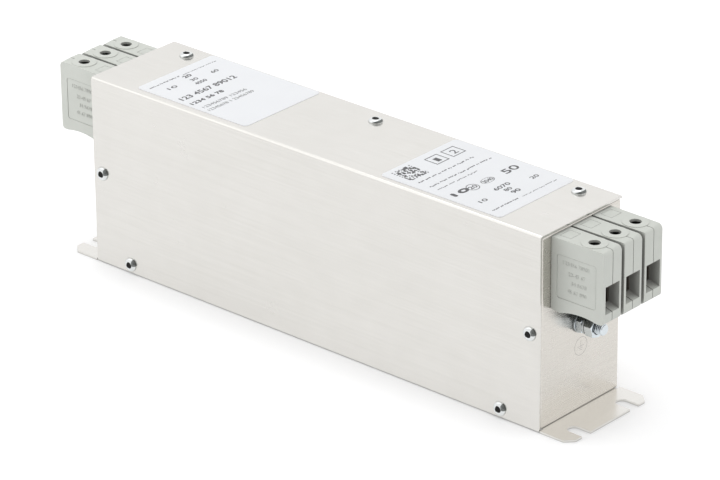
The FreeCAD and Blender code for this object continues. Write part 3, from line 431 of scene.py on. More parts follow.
# %% Mix the rivet metal and the zinc
RIVET_TONES = ((0.74, 0.76, 0.76), (0.84, 0.86, 0.86))
RIVET_DARK_REFLECTION = (0.17, 0.18, 0.175)
RIVET_ROUGH, RIVET_WANDER = 0.08, 0.05
WEDGE_UP, WEDGE_UP_STEP = (0.0, 0.0, 1.0), (0.0, 0.03)
WEDGE_RIGHT, WEDGE_RIGHT_STEP = (1.0, 0.0, -0.5), (0.07, 0.04)
POLISH_PATCH = 2 * MM
ZINC_TONES = ((0.085, 0.10, 0.11), (0.80, 0.86, 0.90))
ZINC_ROUGH, ZINC_WANDER = 0.11, 0.06
ZINC_REACH = 14 * MM
ZINC_STEP = (0.58, 0.20)
ZINC_OPEN, ZINC_PATCHES = 0.92, 0.08
ZINC_GRAIN = 0.6 * MM
ZINC_DEEP = 0.001 * MM

rivet_metal, paint = new_paint("rivet_metal")
normal = paint.add("ShaderNodeNewGeometry", out="Normal")
# Painted reflection: the colour turns dark where the dome faces up and to the right.
faces_up = paint.facing(normal, WEDGE_UP).above(*WEDGE_UP_STEP)
faces_right = paint.facing(normal, WEDGE_RIGHT).above(*WEDGE_RIGHT_STEP)
patches = paint.cloud(even(POLISH_PATCH), FINE)
polished = paint.blend(patches, *RIVET_TONES)
paint.finish(Base_Color=paint.blend(1 - faces_up * faces_right, RIVET_DARK_REFLECTION, polished), Metallic=1.0,
             Roughness=RIVET_ROUGH + patches.swing(RIVET_WANDER))

bright_zinc, paint = new_paint("bright_zinc")
patches = paint.cloud(even(POLISH_PATCH), FINE)
# Painted shade: the zinc's colour goes near black where other parts stand within reach, with random patches on top.
painted_light_and_patches = paint.open_air(ZINC_REACH).above(*ZINC_STEP) * ZINC_OPEN + patches * ZINC_PATCHES
paint.finish(Base_Color=paint.blend(painted_light_and_patches, *ZINC_TONES), Metallic=1.0,
             Roughness=ZINC_ROUGH + patches.swing(ZINC_WANDER),
             Normal=paint.relief(paint.cloud(even(ZINC_GRAIN)), ZINC_DEEP))
print("rivet metal and zinc mixed")

# %% [markdown]
# ## The smaller finishes
# The other finishes share one recipe: a colour with soft patches in it, a roughness that wanders,
# and a grain of its own size pressed into the surface. Only the numbers differ, so they stand in a table.

# %% Mix the smaller finishes


def simple_finish(name, colour, shade, rough, cell, deep, metallic=0.0, wander=0.08, patch=PATCH_SIZE, **extra):
    """A finish from two tones, a roughness and the size and depth of its grain."""
    material, paint = new_paint(name)
    grain, patches = paint.cloud(cell, FINE), paint.cloud(even(patch), FINE)
    roughness = rough + grain.swing(wander) + patches.swing(wander)
    tone = (patches * MIX_PATCHES + grain * MIX_GRAIN).above(*MIX_STEP)
    paint.finish(Base_Color=paint.blend(tone, shade, colour), Metallic=metallic, Roughness=roughness,
                 Normal=paint.relief(grain, deep), **extra)
    return material


SMALL_FINISHES = {
    # name: light tone, dark tone, roughness, grain size, grain depth, and what differs
    "label_film": ((0.86, 0.875, 0.90), (0.83, 0.845, 0.87), 0.36, even(0.35 * MM), 0.003 * MM,
                   {"wander": 0.05, "patch": 18 * MM, "Coat_Weight": 0.25, "Coat_Roughness": 0.2}),
    "label_ink": ((0.10, 0.10, 0.105), (0.06, 0.06, 0.065), 0.45, even(0.3 * MM), 0.002 * MM, {}),
    "clamp_steel": ((0.46, 0.43, 0.39), (0.33, 0.30, 0.27), 0.42, even(0.6 * MM), 0.006 * MM, {"metallic": 1.0}),
    "bar_copper": ((0.72, 0.45, 0.30), (0.58, 0.33, 0.21), 0.33, (8 * MM, 0.3 * MM, 0.3 * MM), 0.004 * MM,
                   {"metallic": 1.0}),
    "film_sheet": ((0.84, 0.82, 0.74), (0.76, 0.73, 0.64), 0.40, even(1.5 * MM), 0.01 * MM, {}),
    "board_green": ((0.10, 0.32, 0.16), (0.07, 0.24, 0.12), 0.35, even(0.7 * MM), 0.01 * MM, {}),
    "core_black": ((0.05, 0.05, 0.055), (0.03, 0.03, 0.035), 0.5, even(0.8 * MM), 0.01 * MM, {}),
    "winding_copper": ((0.66, 0.30, 0.13), (0.50, 0.20, 0.08), 0.28, even(1.2 * MM), 0.01 * MM, {"metallic": 1.0}),
    "capacitor_grey": ((0.62, 0.63, 0.60), (0.55, 0.56, 0.53), 0.32, even(0.5 * MM), 0.005 * MM, {}),
    "resistor_blue": ((0.45, 0.62, 0.66), (0.36, 0.52, 0.56), 0.3, even(0.5 * MM), 0.005 * MM, {}),
    # Near black with little shine: painted shade for the rivet holes and the driver holes.
    "hole_shade_black": ((0.020, 0.020, 0.019), (0.012, 0.012, 0.012), 0.6, even(0.3 * MM), 0.004 * MM,
                  {"Specular_IOR_Level": 0.1}),
    "mark_grey": ((0.50, 0.485, 0.465), (0.40, 0.39, 0.375), 0.4, even(0.3 * MM), 0.002 * MM, {"metallic": 1.0}),
}
small = {name: simple_finish(name, *values, **extra) for name, (*values, extra) in SMALL_FINISHES.items()}
print("small finishes mixed:", len(small))

# %% [markdown]
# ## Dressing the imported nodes
# The films of the labels, the cages, bars and screws, the board and all that stands on it already have
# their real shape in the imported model. They stay as they are and only get a finish. The nodes that are
# made again below get theirs too, so none is left plain. The longest matching start of a name decides.

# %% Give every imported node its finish
NODE_FINISHES = {
    "cover": cover_steel, "back_tray": tray_steel, "bottom_plate": plate_steel,
    "front_rivets": rivet_metal, "top_rivets": rivet_metal, "rear_rivets": rivet_metal,
    "line_label": small["label_film"], "load_label": small["label_film"],
    "line_terminal": terminal_plastic, "load_terminal": terminal_plastic,
    "line_current_bar": small["bar_copper"], "load_current_bar": small["bar_copper"],
    "line_clamp_screws": small["clamp_steel"], "load_clamp_screws": small["clamp_steel"],
    "earth_studs": bright_zinc, "earth_flat_washers": bright_zinc, "earth_spring_washers": bright_zinc,
    "earth_nuts": bright_zinc, "earth_lock_nuts": bright_zinc,
    "insulating_sheet": small["film_sheet"], "circuit_board": small["board_green"],
    "board_standoffs": small["film_sheet"],
    "line_choke_core": small["core_black"], "load_choke_core": small["core_black"],
    "line_choke_winding": small["winding_copper"], "load_choke_winding": small["winding_copper"],
    "line_film_capacitor": small["capacitor_grey"], "load_film_capacitor": small["capacitor_grey"],
    "earth_capacitor": small["capacitor_grey"], "bleed_resistors": small["resistor_blue"],
}
for name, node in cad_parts.items():
    finish = NODE_FINISHES[max((start for start in NODE_FINISHES if name.startswith(start)), key=len)]
    if name.endswith("_cage"):
        finish = small["clamp_steel"]
    node.data.materials.clear()
    node.data.materials.append(finish)
print("dressed", len(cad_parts), "nodes")

# %% [markdown]
# ## Tools for making pieces
# Every piece is first a bmesh, a mesh that is still open on the workbench. One helper closes it and
# hands it over, and the other links the finished mesh as an object that rides on the case. Edges stay
# sharp only where two faces meet at more than a given angle.

# %% Define how a piece is handed over
SHARP = math.radians(32)
NEAR = 0.001 * MM
LARGE_FACES_FIRST = 100


def make_piece(bm, name, finish, replaced=(), sharp=SHARP):
    """Turn a bmesh into a piece of the object that rides on its one body."""
    bmesh.ops.recalc_face_normals(bm, faces=bm.faces)
    return put_piece(as_mesh(bm, name), name, finish, replaced, sharp)


def as_mesh(bm, name):
    """A plain mesh from a bmesh, which is used up."""
    mesh = bpy.data.meshes.new(name)
    bm.to_mesh(mesh)
    bm.free()
    return mesh


def put_piece(mesh, name, finish, replaced=(), sharp=SHARP, where=Matrix.Identity(4)):
    """Link a mesh as a piece, at a place of its own, and hide the imported nodes it replaces."""
    if not mesh.materials:
        mesh.materials.append(finish)
        mesh.shade_smooth()
        mesh.set_sharp_from_angle(angle=sharp)
    piece = bpy.data.objects.new(name, mesh)
    piece.matrix_world = where
    bpy.context.scene.collection.objects.link(piece)
    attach(piece, "root")
    if replaced:
        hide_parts(*replaced)
    return piece


def keep_flats_flat(piece):
    """Let the large faces of a piece set the shading, so that only its narrow rounds look round."""
    shading = piece.modifiers.new("flats_first", "WEIGHTED_NORMAL")
    shading.weight = LARGE_FACES_FIRST
    shading.keep_sharp = True


print("edges over", round(math.degrees(SHARP)), "degrees stay sharp")

# %% [markdown]
# Rivets, studs, washers and rings are turned parts: an outline of radius and height is spun about an
# axis. A matrix puts each of them on its face, with its own Z pointing straight out. Walls between two
# rings, or between two levels, are the same few lines everywhere, so one helper draws them.

# %% Define the turning tools
ROUND_STEPS = 48


def walls(bm, here, after):
    """Faces between two closed rows of points; a point that both rows share gives a triangle."""
    for index in range(len(here)):
        following = (index + 1) % len(here)
        corners = [here[index], after[index], after[following], here[following]]
        corners = [corner for place, corner in enumerate(corners) if corner not in corners[:place]]
        if len(corners) > 2:
            bm.faces.new(corners)


def around(radius, angle, height):
    """The point at an angle and a height on a circle about Z."""
    return Vector((radius * math.cos(angle), radius * math.sin(angle), height))


def turned(bm, outline, where, steps=ROUND_STEPS):
    """Spin an outline of (radius, height) pairs about the height axis; radius 0 makes one shared point."""
    points = {index: bm.verts.new(where @ Vector((0, 0, height)))
              for index, (radius, height) in enumerate(outline) if not radius}
    rings = []
    for step in range(steps):
        angle = 2 * math.pi * step / steps
        rings.append([points.get(index) or bm.verts.new(where @ around(radius, angle, height))
                      for index, (radius, height) in enumerate(outline)])
    for step in range(steps):
        walls(bm, rings[step], rings[(step + 1) % steps])


def pointing(direction, spot):
    """A matrix that turns a piece's own Z to a direction and moves it to a spot."""
    return Matrix.Translation(spot) @ Vector(direction).to_track_quat("Z", "Y").to_matrix().to_4x4()


def arc(centre, radius, start, end, steps):
    """Points on an arc, with its angles in degrees."""
    angles = [math.radians(start + (end - start) * step / steps) for step in range(steps + 1)]
    return [(centre[0] + radius * math.cos(a), centre[1] + radius * math.sin(a)) for a in angles]


print("turned parts have", ROUND_STEPS, "sides")

# %% [markdown]
# ## Folded sheets with real edges
# A punch leaves the edge of a sheet slightly rolled, and that narrow round catches the light all along
# the case. So the cover, the tray and the plate are made again: each starts from the shape of its packed
# node, its flat faces are joined up, and every cut edge gets a fine bevel. The bends are shaded smooth.
# The tray's panels also reach down to the plate, which leaves only a hairline between the two sheets.
# Edges round the holes stay as they are, because rivet heads and terminals lie on them.

# %% Make the folded sheets again
EDGE_ROLL = 0.14 * MM
COVER_ROLL = 0.26 * MM
ROLL_STEPS = 2
ROUND_PROFILE = 0.5
FLAT = math.radians(0.6)
CUT = math.radians(50)
FOOT_LINE = 0.07 * MM
TRAY_FOOT = 5 * MM
PLATE_SKIN = 2 * MM


def cut_edges(bm, clear):
    """The sharp edges of a sheet that are clear of every hole under a rivet head or a terminal."""
    sharp = [e for e in bm.edges if len(e.link_faces) == 2 and e.calc_face_angle() > CUT]
    return [e for e in sharp if all(clear(v.co) for v in e.verts)]


def roll_edges(bm, edges, width, segments):
    """Bevel some edges, and never wider than there is room for."""
    return bmesh.ops.bevel(bm, geom=edges, offset=width, segments=segments, profile=ROUND_PROFILE, affect="EDGES",
                           clamp_overlap=True)["faces"]


def sheet_again(node, finish, clear, reshape=None, edge=EDGE_ROLL):
    """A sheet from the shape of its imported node, with fine round edges."""
    bm = bmesh.new()
    bm.from_mesh(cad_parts[node].data)
    bmesh.ops.remove_doubles(bm, verts=bm.verts, dist=NEAR)
    if reshape:
        reshape(bm)
    bmesh.ops.dissolve_limit(bm, angle_limit=FLAT, verts=bm.verts, edges=bm.edges)
    rolled = roll_edges(bm, cut_edges(bm, clear), edge, ROLL_STEPS)
    print(node, "has", len(rolled), "faces along its cut edges")
    keep_flats_flat(make_piece(bm, node + "_folded", finish, [node]))


def clear_of_cover_holes(spot):
    """Only the ends of the cover's section and its long edges are rolled."""
    return abs(spot.x) > cover_high.x - NEAR or spot.z < cover_low.z + NEAR or spot.y > cover_high.y - NEAR


def down_to_plate(bm):
    """Bring the lower edges of the tray down to a hairline above the plate."""
    steel = cover_high.z - tray_high.z
    for vertex in bm.verts:
        if vertex.co.z < tray_low.z + NEAR:
            vertex.co.z = steel + FOOT_LINE


sheet_again("cover", cover_steel, clear_of_cover_holes, edge=COVER_ROLL)
sheet_again("back_tray", tray_steel, lambda spot: spot.z < TRAY_FOOT, down_to_plate)
sheet_again("bottom_plate", plate_steel, lambda spot: spot.z < PLATE_SKIN)

# %% [markdown]
# ## The corners of the tray
# Where two folded edges of the tray meet at a top corner, a press closes them into one round corner.
# In a drawing such a corner is left open, so each is made here as one bend that is carried round the
# corner, with a short strip on both sides that laps the folded edges. The rear corners lie a hair
# inside the tray and reach as far as its rear flange and flaps do.

# %% Press the top corners
BEND = 1.5 * MM
STEEL = 1.0 * MM
CORNER_STEPS = 8
CORNER_STRIP = 0.5 * MM
SHEET_PLAY = 0.01 * MM


def pressed_corner(bm, centre, start, end, before, after):
    """A bend carried round a corner, from facing one way to facing another, with a strip on each side."""
    profile = arc((0, 0), BEND, 0, 90, CORNER_STEPS) + arc((0, 0), BEND - STEEL, 90, 0, CORNER_STEPS)
    turns = [math.pi / 2 * step / CORNER_STEPS for step in range(CORNER_STEPS + 1)]
    places = [(start, before)] + [(start * math.cos(a) + end * math.sin(a), Vector()) for a in turns] + [(end, after)]
    sections = [[bm.verts.new(centre + shift + away * out + Vector((0, 0, up))) for out, up in profile]
                for away, shift in places]
    for here, following in zip(sections, sections[1:]):
        walls(bm, here, following)
    bm.faces.new(sections[0])
    bm.faces.new(sections[-1])


tray_points = [vertex.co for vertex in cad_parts["back_tray"].data.vertices]
top_points = [spot for spot in tray_points if spot.z > tray_high.z - NEAR]
flange_end = max(spot.x for spot in top_points if spot.y > tray_high.y - BEND - NEAR)
flap_end = max(spot.y for spot in top_points if spot.x > flange_end + BEND)
bm = bmesh.new()
for _, sign in ENDS:
    outward, across = Vector((sign, 0, 0)), panel - BEND
    front = Vector((sign * across, cover_low.y + STEEL + BEND, tray_high.z - BEND))
    pressed_corner(bm, front, Vector((0, -1, 0)), outward,
                   Vector((-sign * CORNER_STRIP, 0, 0)), Vector((0, CORNER_STRIP, 0)))
    lap = BEND + SHEET_PLAY
    rear = Vector((sign * (across - SHEET_PLAY), tray_high.y - lap, tray_high.z - lap))
    pressed_corner(bm, rear, outward, Vector((0, 1, 0)), Vector((0, flap_end - rear.y - CORNER_STRIP, 0)),
                   Vector((-sign * (across - flange_end + CORNER_STRIP), 0, 0)))
bmesh.ops.remove_doubles(bm, verts=bm.verts, dist=NEAR)
make_piece(bm, "back_tray_corners", tray_steel)
print("flange ends at", round(flange_end / MM, 2), "and the flaps at", round(flap_end / MM, 2), "mm")

# %% [markdown]
# ## Blind rivets
# Nine blind rivets hold the sheets together. Each has a polished domed head with a round hole in the
# middle, where its stem was pulled through. The head, the shank and the upset end inside the case are
# one turned outline, so a single spin makes each rivet, and the dome can be as fine as we like.
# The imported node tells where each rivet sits: its points fall into groups, one for each rivet.

# %% Turn the rivets
RIVET_BORE = 1.38 * MM
RIVET_SHANK = 1.6 * MM
RIVET_GRIP = 2 * MM
RIVET_RIM = 0.22 * MM
RIVET_UNDER = 0.1 * MM
RIVET_UPSET = 2.4 * MM
RIVET_UPSET_TALL = 2.2 * MM
UPSET_SLOPE, UPSET_ROUND = 0.3 * MM, 0.6 * MM
RIVET_LIP = 0.12 * MM
RIVET_MOUTH = 0.10 * MM
STEM_SUNK = 0.16 * MM
STEM_EDGE = 0.05 * MM
STEM_LONG = 2 * MM
DOME_STEPS = 10
RIVET_REACH = 9 * MM


def solids_of(node, reach):
    """The lowest and highest corners of each separate solid in a node, found by nearness."""
    groups = []
    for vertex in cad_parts[node].data.vertices:
        near = [points for points in groups if (points[0] - vertex.co).length < reach]
        if near:
            near[0].append(vertex.co)
        else:
            groups.append([vertex.co])
    return [[Vector(pick(spot[axis] for spot in points) for axis in range(3)) for pick in (min, max)]
            for points in groups]


def rivet_outline(head_radius, head_tall):
    """Up the bore, over the dome, under the head, down the shank and round the upset end."""
    shoulder = RIVET_BORE + RIVET_LIP
    dome = [(shoulder + (head_radius - shoulder) * math.sin(a), RIVET_RIM + (head_tall - RIVET_RIM) * math.cos(a))
            for a in (math.pi / 2 * step / DOME_STEPS for step in range(DOME_STEPS + 1))]
    end = -RIVET_GRIP - RIVET_UPSET_TALL
    tail = [(head_radius - RIVET_UNDER, 0), (RIVET_SHANK, 0), (RIVET_SHANK, -RIVET_GRIP),
            (RIVET_UPSET, -RIVET_GRIP - UPSET_SLOPE), (RIVET_UPSET, end + UPSET_ROUND),
            (RIVET_UPSET - UPSET_ROUND, end), (RIVET_BORE, end)]
    return [(RIVET_BORE, head_tall - RIVET_MOUTH)] + dome + tail


def stem_outline(top):
    """The broken end of the stem, a little way down the bore."""
    return [(0, -STEM_LONG), (RIVET_BORE, -STEM_LONG), (RIVET_BORE, top - STEM_EDGE), (RIVET_BORE - STEM_EDGE, top),
            (0, top)]


for node, axis, sign, face in (("front_rivets", 1, -1, cover_low.y), ("rear_rivets", 1, 1, tray_high.y),
                               ("top_rivets", 2, 1, cover_top)):
    bm, stems = bmesh.new(), bmesh.new()
    heads = solids_of(node, RIVET_REACH)
    for low, high in heads:
        centre = (low + high) / 2
        proud = abs((high if sign > 0 else low)[axis] - face)
        centre[axis] = face
        where = pointing([sign if index == axis else 0 for index in range(3)], centre)
        turned(bm, rivet_outline((high.x - low.x) / 2, proud), where)
        turned(stems, stem_outline(proud - STEM_SUNK), where)
    make_piece(bm, node + "_domed", rivet_metal, [node])
    # The stems take the near-black finish, painted shade that makes the hole in each head read dark.
    make_piece(stems, node + "_stems", small["hole_shade_black"])
    print(node, len(heads), "rivets")

# %% [markdown]
# ## Terminal blocks
# Each terminal is a block of pale grey plastic in two halves that meet on a seam. The wire goes into a
# square funnel in the front face, and a screwdriver reaches the clamp through a round hole on top.
# A half starts as its side outline: a low arch below, which leaves room for the earth nut, a round chin
# and a rounder nose. X runs out from the end panel and 0 is the height of the top.

# %% Draw the side outline of a terminal
BLOCK_REACH = block_high.x - panel
BLOCK_HALF = block_high.y
HEEL = -30.6 * MM
TOE = (4.4 * MM, -31.4 * MM)
ARCH = (13.4 * MM, -29.7 * MM)
SOLE = (22.4 * MM, -30.6 * MM)
CHIN = 1.6 * MM
NOSE = 2.0 * MM
ARC_STEPS = 8
CHIN_STEPS = 4
ARCH_STEPS = 14


def through(first, middle, last, steps):
    """Points on the circle through three points, from the first to the last."""
    (ax, ay), (bx, by), (cx, cy) = first, middle, last
    d = 2 * (ax * (by - cy) + bx * (cy - ay) + cx * (ay - by))
    ux = ((ax**2 + ay**2) * (by - cy) + (bx**2 + by**2) * (cy - ay) + (cx**2 + cy**2) * (ay - by)) / d
    uy = ((ax**2 + ay**2) * (cx - bx) + (bx**2 + by**2) * (ax - cx) + (cx**2 + cy**2) * (bx - ax)) / d
    radius = math.hypot(ax - ux, ay - uy)
    start, end = math.degrees(math.atan2(ay - uy, ax - ux)), math.degrees(math.atan2(cy - uy, cx - ux))
    return arc((ux, uy), radius, start, end, steps)


nose_points = arc((BLOCK_REACH - NOSE, -NOSE), NOSE, 0, 90, ARC_STEPS)
chin_points = arc((BLOCK_REACH - CHIN, SOLE[1] + CHIN), CHIN, -90, 0, CHIN_STEPS)
side_outline = [(0, HEEL), TOE] + through(TOE, ARCH, SOLE, ARCH_STEPS)[1:] + chin_points + nose_points + [(0, 0)]
print("outline of", len(side_outline), "points, reach", round(BLOCK_REACH / MM, 2), "mm")

# %% [markdown]
# The outline is pushed out to a solid, and the openings are cut from it with other solids, as the cores
# of a mould would leave them. Solid cutters keep every wall flat and every corner where it belongs,
# which pushing single faces about would not. Blender's exact solver is used because many cutters share
# a plane with the block.

# %% Cut and join solid blocks


def prism(outline, low, high, along="y"):
    """A solid from an outline, pushed between two levels along y (outline in x, z) or z (in x, y)."""
    bm = bmesh.new()
    lift = (lambda a, b, level: (a, level, b)) if along == "y" else (lambda a, b, level: (a, b, level))
    rims = [[bm.verts.new(lift(a, b, level)) for a, b in outline] for level in (low, high)]
    bm.faces.new(rims[0])
    bm.faces.new(list(reversed(rims[1])))
    walls(bm, *rims)
    bmesh.ops.recalc_face_normals(bm, faces=bm.faces)
    return bm


def put_on_bench(mesh, name):
    """A plain object that is only used for making something else."""
    thing = bpy.data.objects.new(name, mesh)
    bpy.context.scene.collection.objects.link(thing)
    return thing


def taken_from(thing, helpers=()):
    """The finished mesh of an object, which then leaves the bench with its helpers."""
    bpy.context.view_layer.update()
    made = bpy.data.meshes.new_from_object(thing.evaluated_get(bpy.context.evaluated_depsgraph_get()))
    for used in (*helpers, thing):
        bpy.data.objects.remove(used)
    return made


def carve(base, tools, name):
    """Join solids to a base, or cut them out of it, one after the other."""
    body = put_on_bench(as_mesh(base, name), name)
    cutters = []
    for index, (operation, solid) in enumerate(tools):
        cutters.append(put_on_bench(as_mesh(solid, name), "%s_tool_%d" % (name, index)))
        cut = body.modifiers.new("cut_%d" % index, "BOOLEAN")
        cut.operation = operation
        cut.solver = "EXACT"
        cut.object = cutters[-1]
    made = taken_from(body, cutters)
    made.name = name
    return made


def box_outline(left, right, low, high):
    """The four corners of a rectangle."""
    return [(left, low), (right, low), (right, high), (left, high)]


print("ready to cut solids")

# %% [markdown]
# The side of each half has a shallow panel with a fine groove round it, and the top carries a small
# rectangle and a raised ring round the driver's hole. They are only tenths of a millimetre deep, but
# they catch the light, and without them the blocks look like bare boxes. The rounded corners of the
# panel come from a helper that swings each corner of an outline about its own centre.

# %% Cut the panel on the side and the marks on top
# left, right, low and high edges
RECESS = (2.9 * MM, 21.9 * MM, -25.0 * MM, -6.5 * MM)
RECESS_DEEP = 0.15 * MM
RECESS_ROUND = 1.2 * MM
GROOVE_WIDE = 0.24 * MM
GROOVE_DEEP = 0.20 * MM
# left and right edges, and half the width
TOP_MARK = (2.0 * MM, 7.4 * MM, 3.1 * MM)
TOP_LINE = 0.16 * MM
TOP_DEEP = 0.12 * MM
OUTSIDE = 1.0 * MM


def rounded(points, radius, steps=ARC_STEPS):
    """A closed outline with all its corners rounded."""
    outline = []
    for index, point in enumerate(points):
        corner = Vector(point)
        before = (Vector(points[index - 1]) - corner).normalized()
        after = (Vector(points[(index + 1) % len(points)]) - corner).normalized()
        half = before.angle(after) / 2
        reach = radius / math.tan(half)
        centre = corner + (before + after).normalized() * (radius / math.sin(half))
        start, end = corner + before * reach - centre, corner + after * reach - centre
        turn = start.angle_signed(end)
        outline += [centre + Matrix.Rotation(-turn * step / steps, 2) @ start for step in range(steps + 1)]
    return outline


def panel_cuts():
    """The shallow panel on the side of a half, with a finer groove all round it."""
    left, right, low, high = RECESS
    g = GROOVE_WIDE
    ring = rounded(box_outline(left, right, low, high), RECESS_ROUND)
    island = rounded(box_outline(left + g, right - g, low + g, high - g), RECESS_ROUND - g)
    return [("DIFFERENCE", prism(ring, BLOCK_HALF - GROOVE_DEEP, BLOCK_HALF + OUTSIDE)),
            ("UNION", prism(island, BLOCK_HALF - OUTSIDE, BLOCK_HALF - RECESS_DEEP))]


def top_cuts():
    """Three fine grooves on the top that draw half of a small rectangle."""
    left, right, half = TOP_MARK
    lines = (box_outline(left, left + TOP_LINE, -OUTSIDE, half),
             box_outline(right - TOP_LINE, right, -OUTSIDE, half), box_outline(left, right, half - TOP_LINE, half))
    return [("DIFFERENCE", prism(line, -TOP_DEEP, OUTSIDE, along="z")) for line in lines]


print("side panel", round((RECESS[1] - RECESS[0]) / MM, 1), "mm wide and", RECESS_DEEP / MM, "mm deep")

# %% [markdown]
# The wire entry is a funnel with a sloping floor that leads into the chamber of the clamp. The driver's
# bore comes down from the top into a wider well. The seam is a fine groove over the top, down the front
# and along the funnel's floor: half of it is cut from each half, so it shows as one dark line.

# %% Cut the wire funnel, the driver's hole and the seam
HOLE_X = 16.6 * MM
HOLE_RADIUS = 2.45 * MM
HOLE_STEPS = 40
RING_RADIUS = 5.35 * MM
SHELL = 0.9 * MM
WELL_RADIUS = 4.2 * MM
FUNNEL_HALF = 4.45 * MM
FUNNEL_DEEP = 5.2 * MM
FUNNEL_FLOOR = -26.1 * MM
FUNNEL_RISE = 1.4 * MM
FUNNEL_ROOF = -14.5 * MM
FUNNEL_DROP = 0.6 * MM
CHAMBER_BACK, CHAMBER_LOW, CHAMBER_HIGH = 10.5 * MM, -26.8 * MM, -6.0 * MM
CHAMBER_HALF = 4.65 * MM
CHAMBER_LAP = 0.01 * MM
SEAM_WIDE = 0.16 * MM
SEAM_DEEP = 0.35 * MM
SILL_WIDE = 0.22 * MM
FUNNEL_BACK = BLOCK_REACH - FUNNEL_DEEP


def hole(radius):
    """The outline of a round hole for the screwdriver."""
    return arc((HOLE_X, 0), radius, 0, 360, HOLE_STEPS)[:-1]


def funnel_cuts():
    """The wire funnel, the clamp's chamber behind it and the well under the driver hole."""
    back, front = FUNNEL_BACK, BLOCK_REACH + OUTSIDE
    funnel = [(back, FUNNEL_FLOOR + FUNNEL_RISE), (BLOCK_REACH, FUNNEL_FLOOR), (front, FUNNEL_FLOOR),
              (front, FUNNEL_ROOF), (BLOCK_REACH, FUNNEL_ROOF), (back, FUNNEL_ROOF - FUNNEL_DROP)]
    chamber = box_outline(CHAMBER_BACK, back + CHAMBER_LAP, CHAMBER_LOW, CHAMBER_HIGH)
    return [("DIFFERENCE", prism(funnel, -OUTSIDE, FUNNEL_HALF)),
            ("DIFFERENCE", prism(chamber, -OUTSIDE, CHAMBER_HALF)),
            ("DIFFERENCE", prism(hole(HOLE_RADIUS), -SHELL - OUTSIDE, OUTSIDE, along="z")),
            ("DIFFERENCE", prism(hole(WELL_RADIUS), CHAMBER_HIGH - OUTSIDE, -SHELL, along="z"))]


def seam_cuts():
    """The line where the halves meet, over the top, down the front and along the funnel's floor."""
    start = HOLE_X + RING_RADIUS
    centre = (BLOCK_REACH - NOSE, -NOSE)
    front = ([(start, -SEAM_DEEP)] + arc(centre, NOSE - SEAM_DEEP, 90, 0, ARC_STEPS)
             + [(BLOCK_REACH - SEAM_DEEP, HEEL - OUTSIDE), (BLOCK_REACH + OUTSIDE, HEEL - OUTSIDE)]
             + arc(centre, NOSE + OUTSIDE, 0, 90, ARC_STEPS) + [(start, OUTSIDE)])
    low, back = FUNNEL_FLOOR - SEAM_DEEP, FUNNEL_BACK - OUTSIDE
    sill = [(back, low + FUNNEL_RISE), (BLOCK_REACH, low), (BLOCK_REACH, FUNNEL_FLOOR + OUTSIDE),
            (back, FUNNEL_FLOOR + FUNNEL_RISE + OUTSIDE)]
    return [("DIFFERENCE", prism(front, -OUTSIDE, SEAM_WIDE)), ("DIFFERENCE", prism(sill, -OUTSIDE, SILL_WIDE))]


print("wire entry", round(2 * FUNNEL_HALF / MM, 1), "mm wide, driver's hole", round(2 * HOLE_RADIUS / MM, 1), "mm")

# %% [markdown]
# Now all the cuts meet in one half. A neck with a latch reaches back through the end panel, and the
# current bar has its slot there. A moulded part has some draft, so that it leaves its mould, and its
# front corners aren't equally round: the nose is tighter on one side than on the other. Both are pressed
# into the finished mesh, so that every cutter can stay square.

# %% Mould one half of a terminal
EDGE_ROUND = 0.14 * MM
EDGE_STEPS = 2
RING_TALL = 0.22 * MM
RING_STEPS = 28
# left, right, low and high edges
NECK = (-7.6 * MM, 1.0 * MM, -28.0 * MM, -5.0 * MM)
LATCH = (-3.1 * MM, -1.3 * MM, -28.8 * MM, -4.2 * MM)
BAR_SLOT = (-9.0 * MM, 11.0 * MM, -16.7 * MM, -15.5 * MM)
NECK_HALF = 4.4 * MM
BAR_HALF = 3.4 * MM
DRAFT = 0.32 * MM
# shares of the nose radius: at the seam, and on the outer side of each half
NOSE_AT_SEAM = 0.60
NOSE_OUTSIDE = {1: 1.1, -1: 0.45}


def drawn_in(x, y):
    """The distance from the middle of a terminal after the mould's draft, which grows toward the front."""
    return y * (1 - DRAFT / BLOCK_HALF * max(x, 0.0) / BLOCK_REACH)


def terminal_half():
    """One half of a terminal, from its seam at y = 0 outward, with its top at height 0."""
    block = prism(side_outline, 0, BLOCK_HALF)
    outer = [e for e in block.edges if all(v.co.y > BLOCK_HALF - NEAR and v.co.x > -NEAR for v in e.verts)]
    roll_edges(block, outer, EDGE_ROUND, EDGE_STEPS)
    disc = arc((HOLE_X, 0), RING_RADIUS, 0, 180, RING_STEPS)
    joined = [("UNION", prism(box_outline(*NECK), 0, NECK_HALF)), ("UNION", prism(box_outline(*LATCH), 0, NECK_HALF)),
              ("UNION", prism(disc, -OUTSIDE, RING_TALL, along="z"))]
    slot = ("DIFFERENCE", prism(box_outline(*BAR_SLOT), -OUTSIDE, BAR_HALF))
    made = carve(block, joined + top_cuts() + funnel_cuts() + [slot] + panel_cuts() + seam_cuts(), "terminal_half")
    for vertex in made.vertices:
        vertex.co.y = drawn_in(vertex.co.x, vertex.co.y)
    return made


def press_nose(mesh, outer_share):
    """Change the nose radius evenly from the seam to the outer side, about the sharp corner of the outline."""
    for vertex in mesh.vertices:
        back, down = BLOCK_REACH - vertex.co.x, -vertex.co.z
        if back < NOSE + NEAR and -NEAR < down < NOSE + NEAR:
            share = NOSE_AT_SEAM + (outer_share - NOSE_AT_SEAM) * min(1.0, vertex.co.y / BLOCK_HALF)
            vertex.co.x, vertex.co.z = BLOCK_REACH - back * share, -down * share


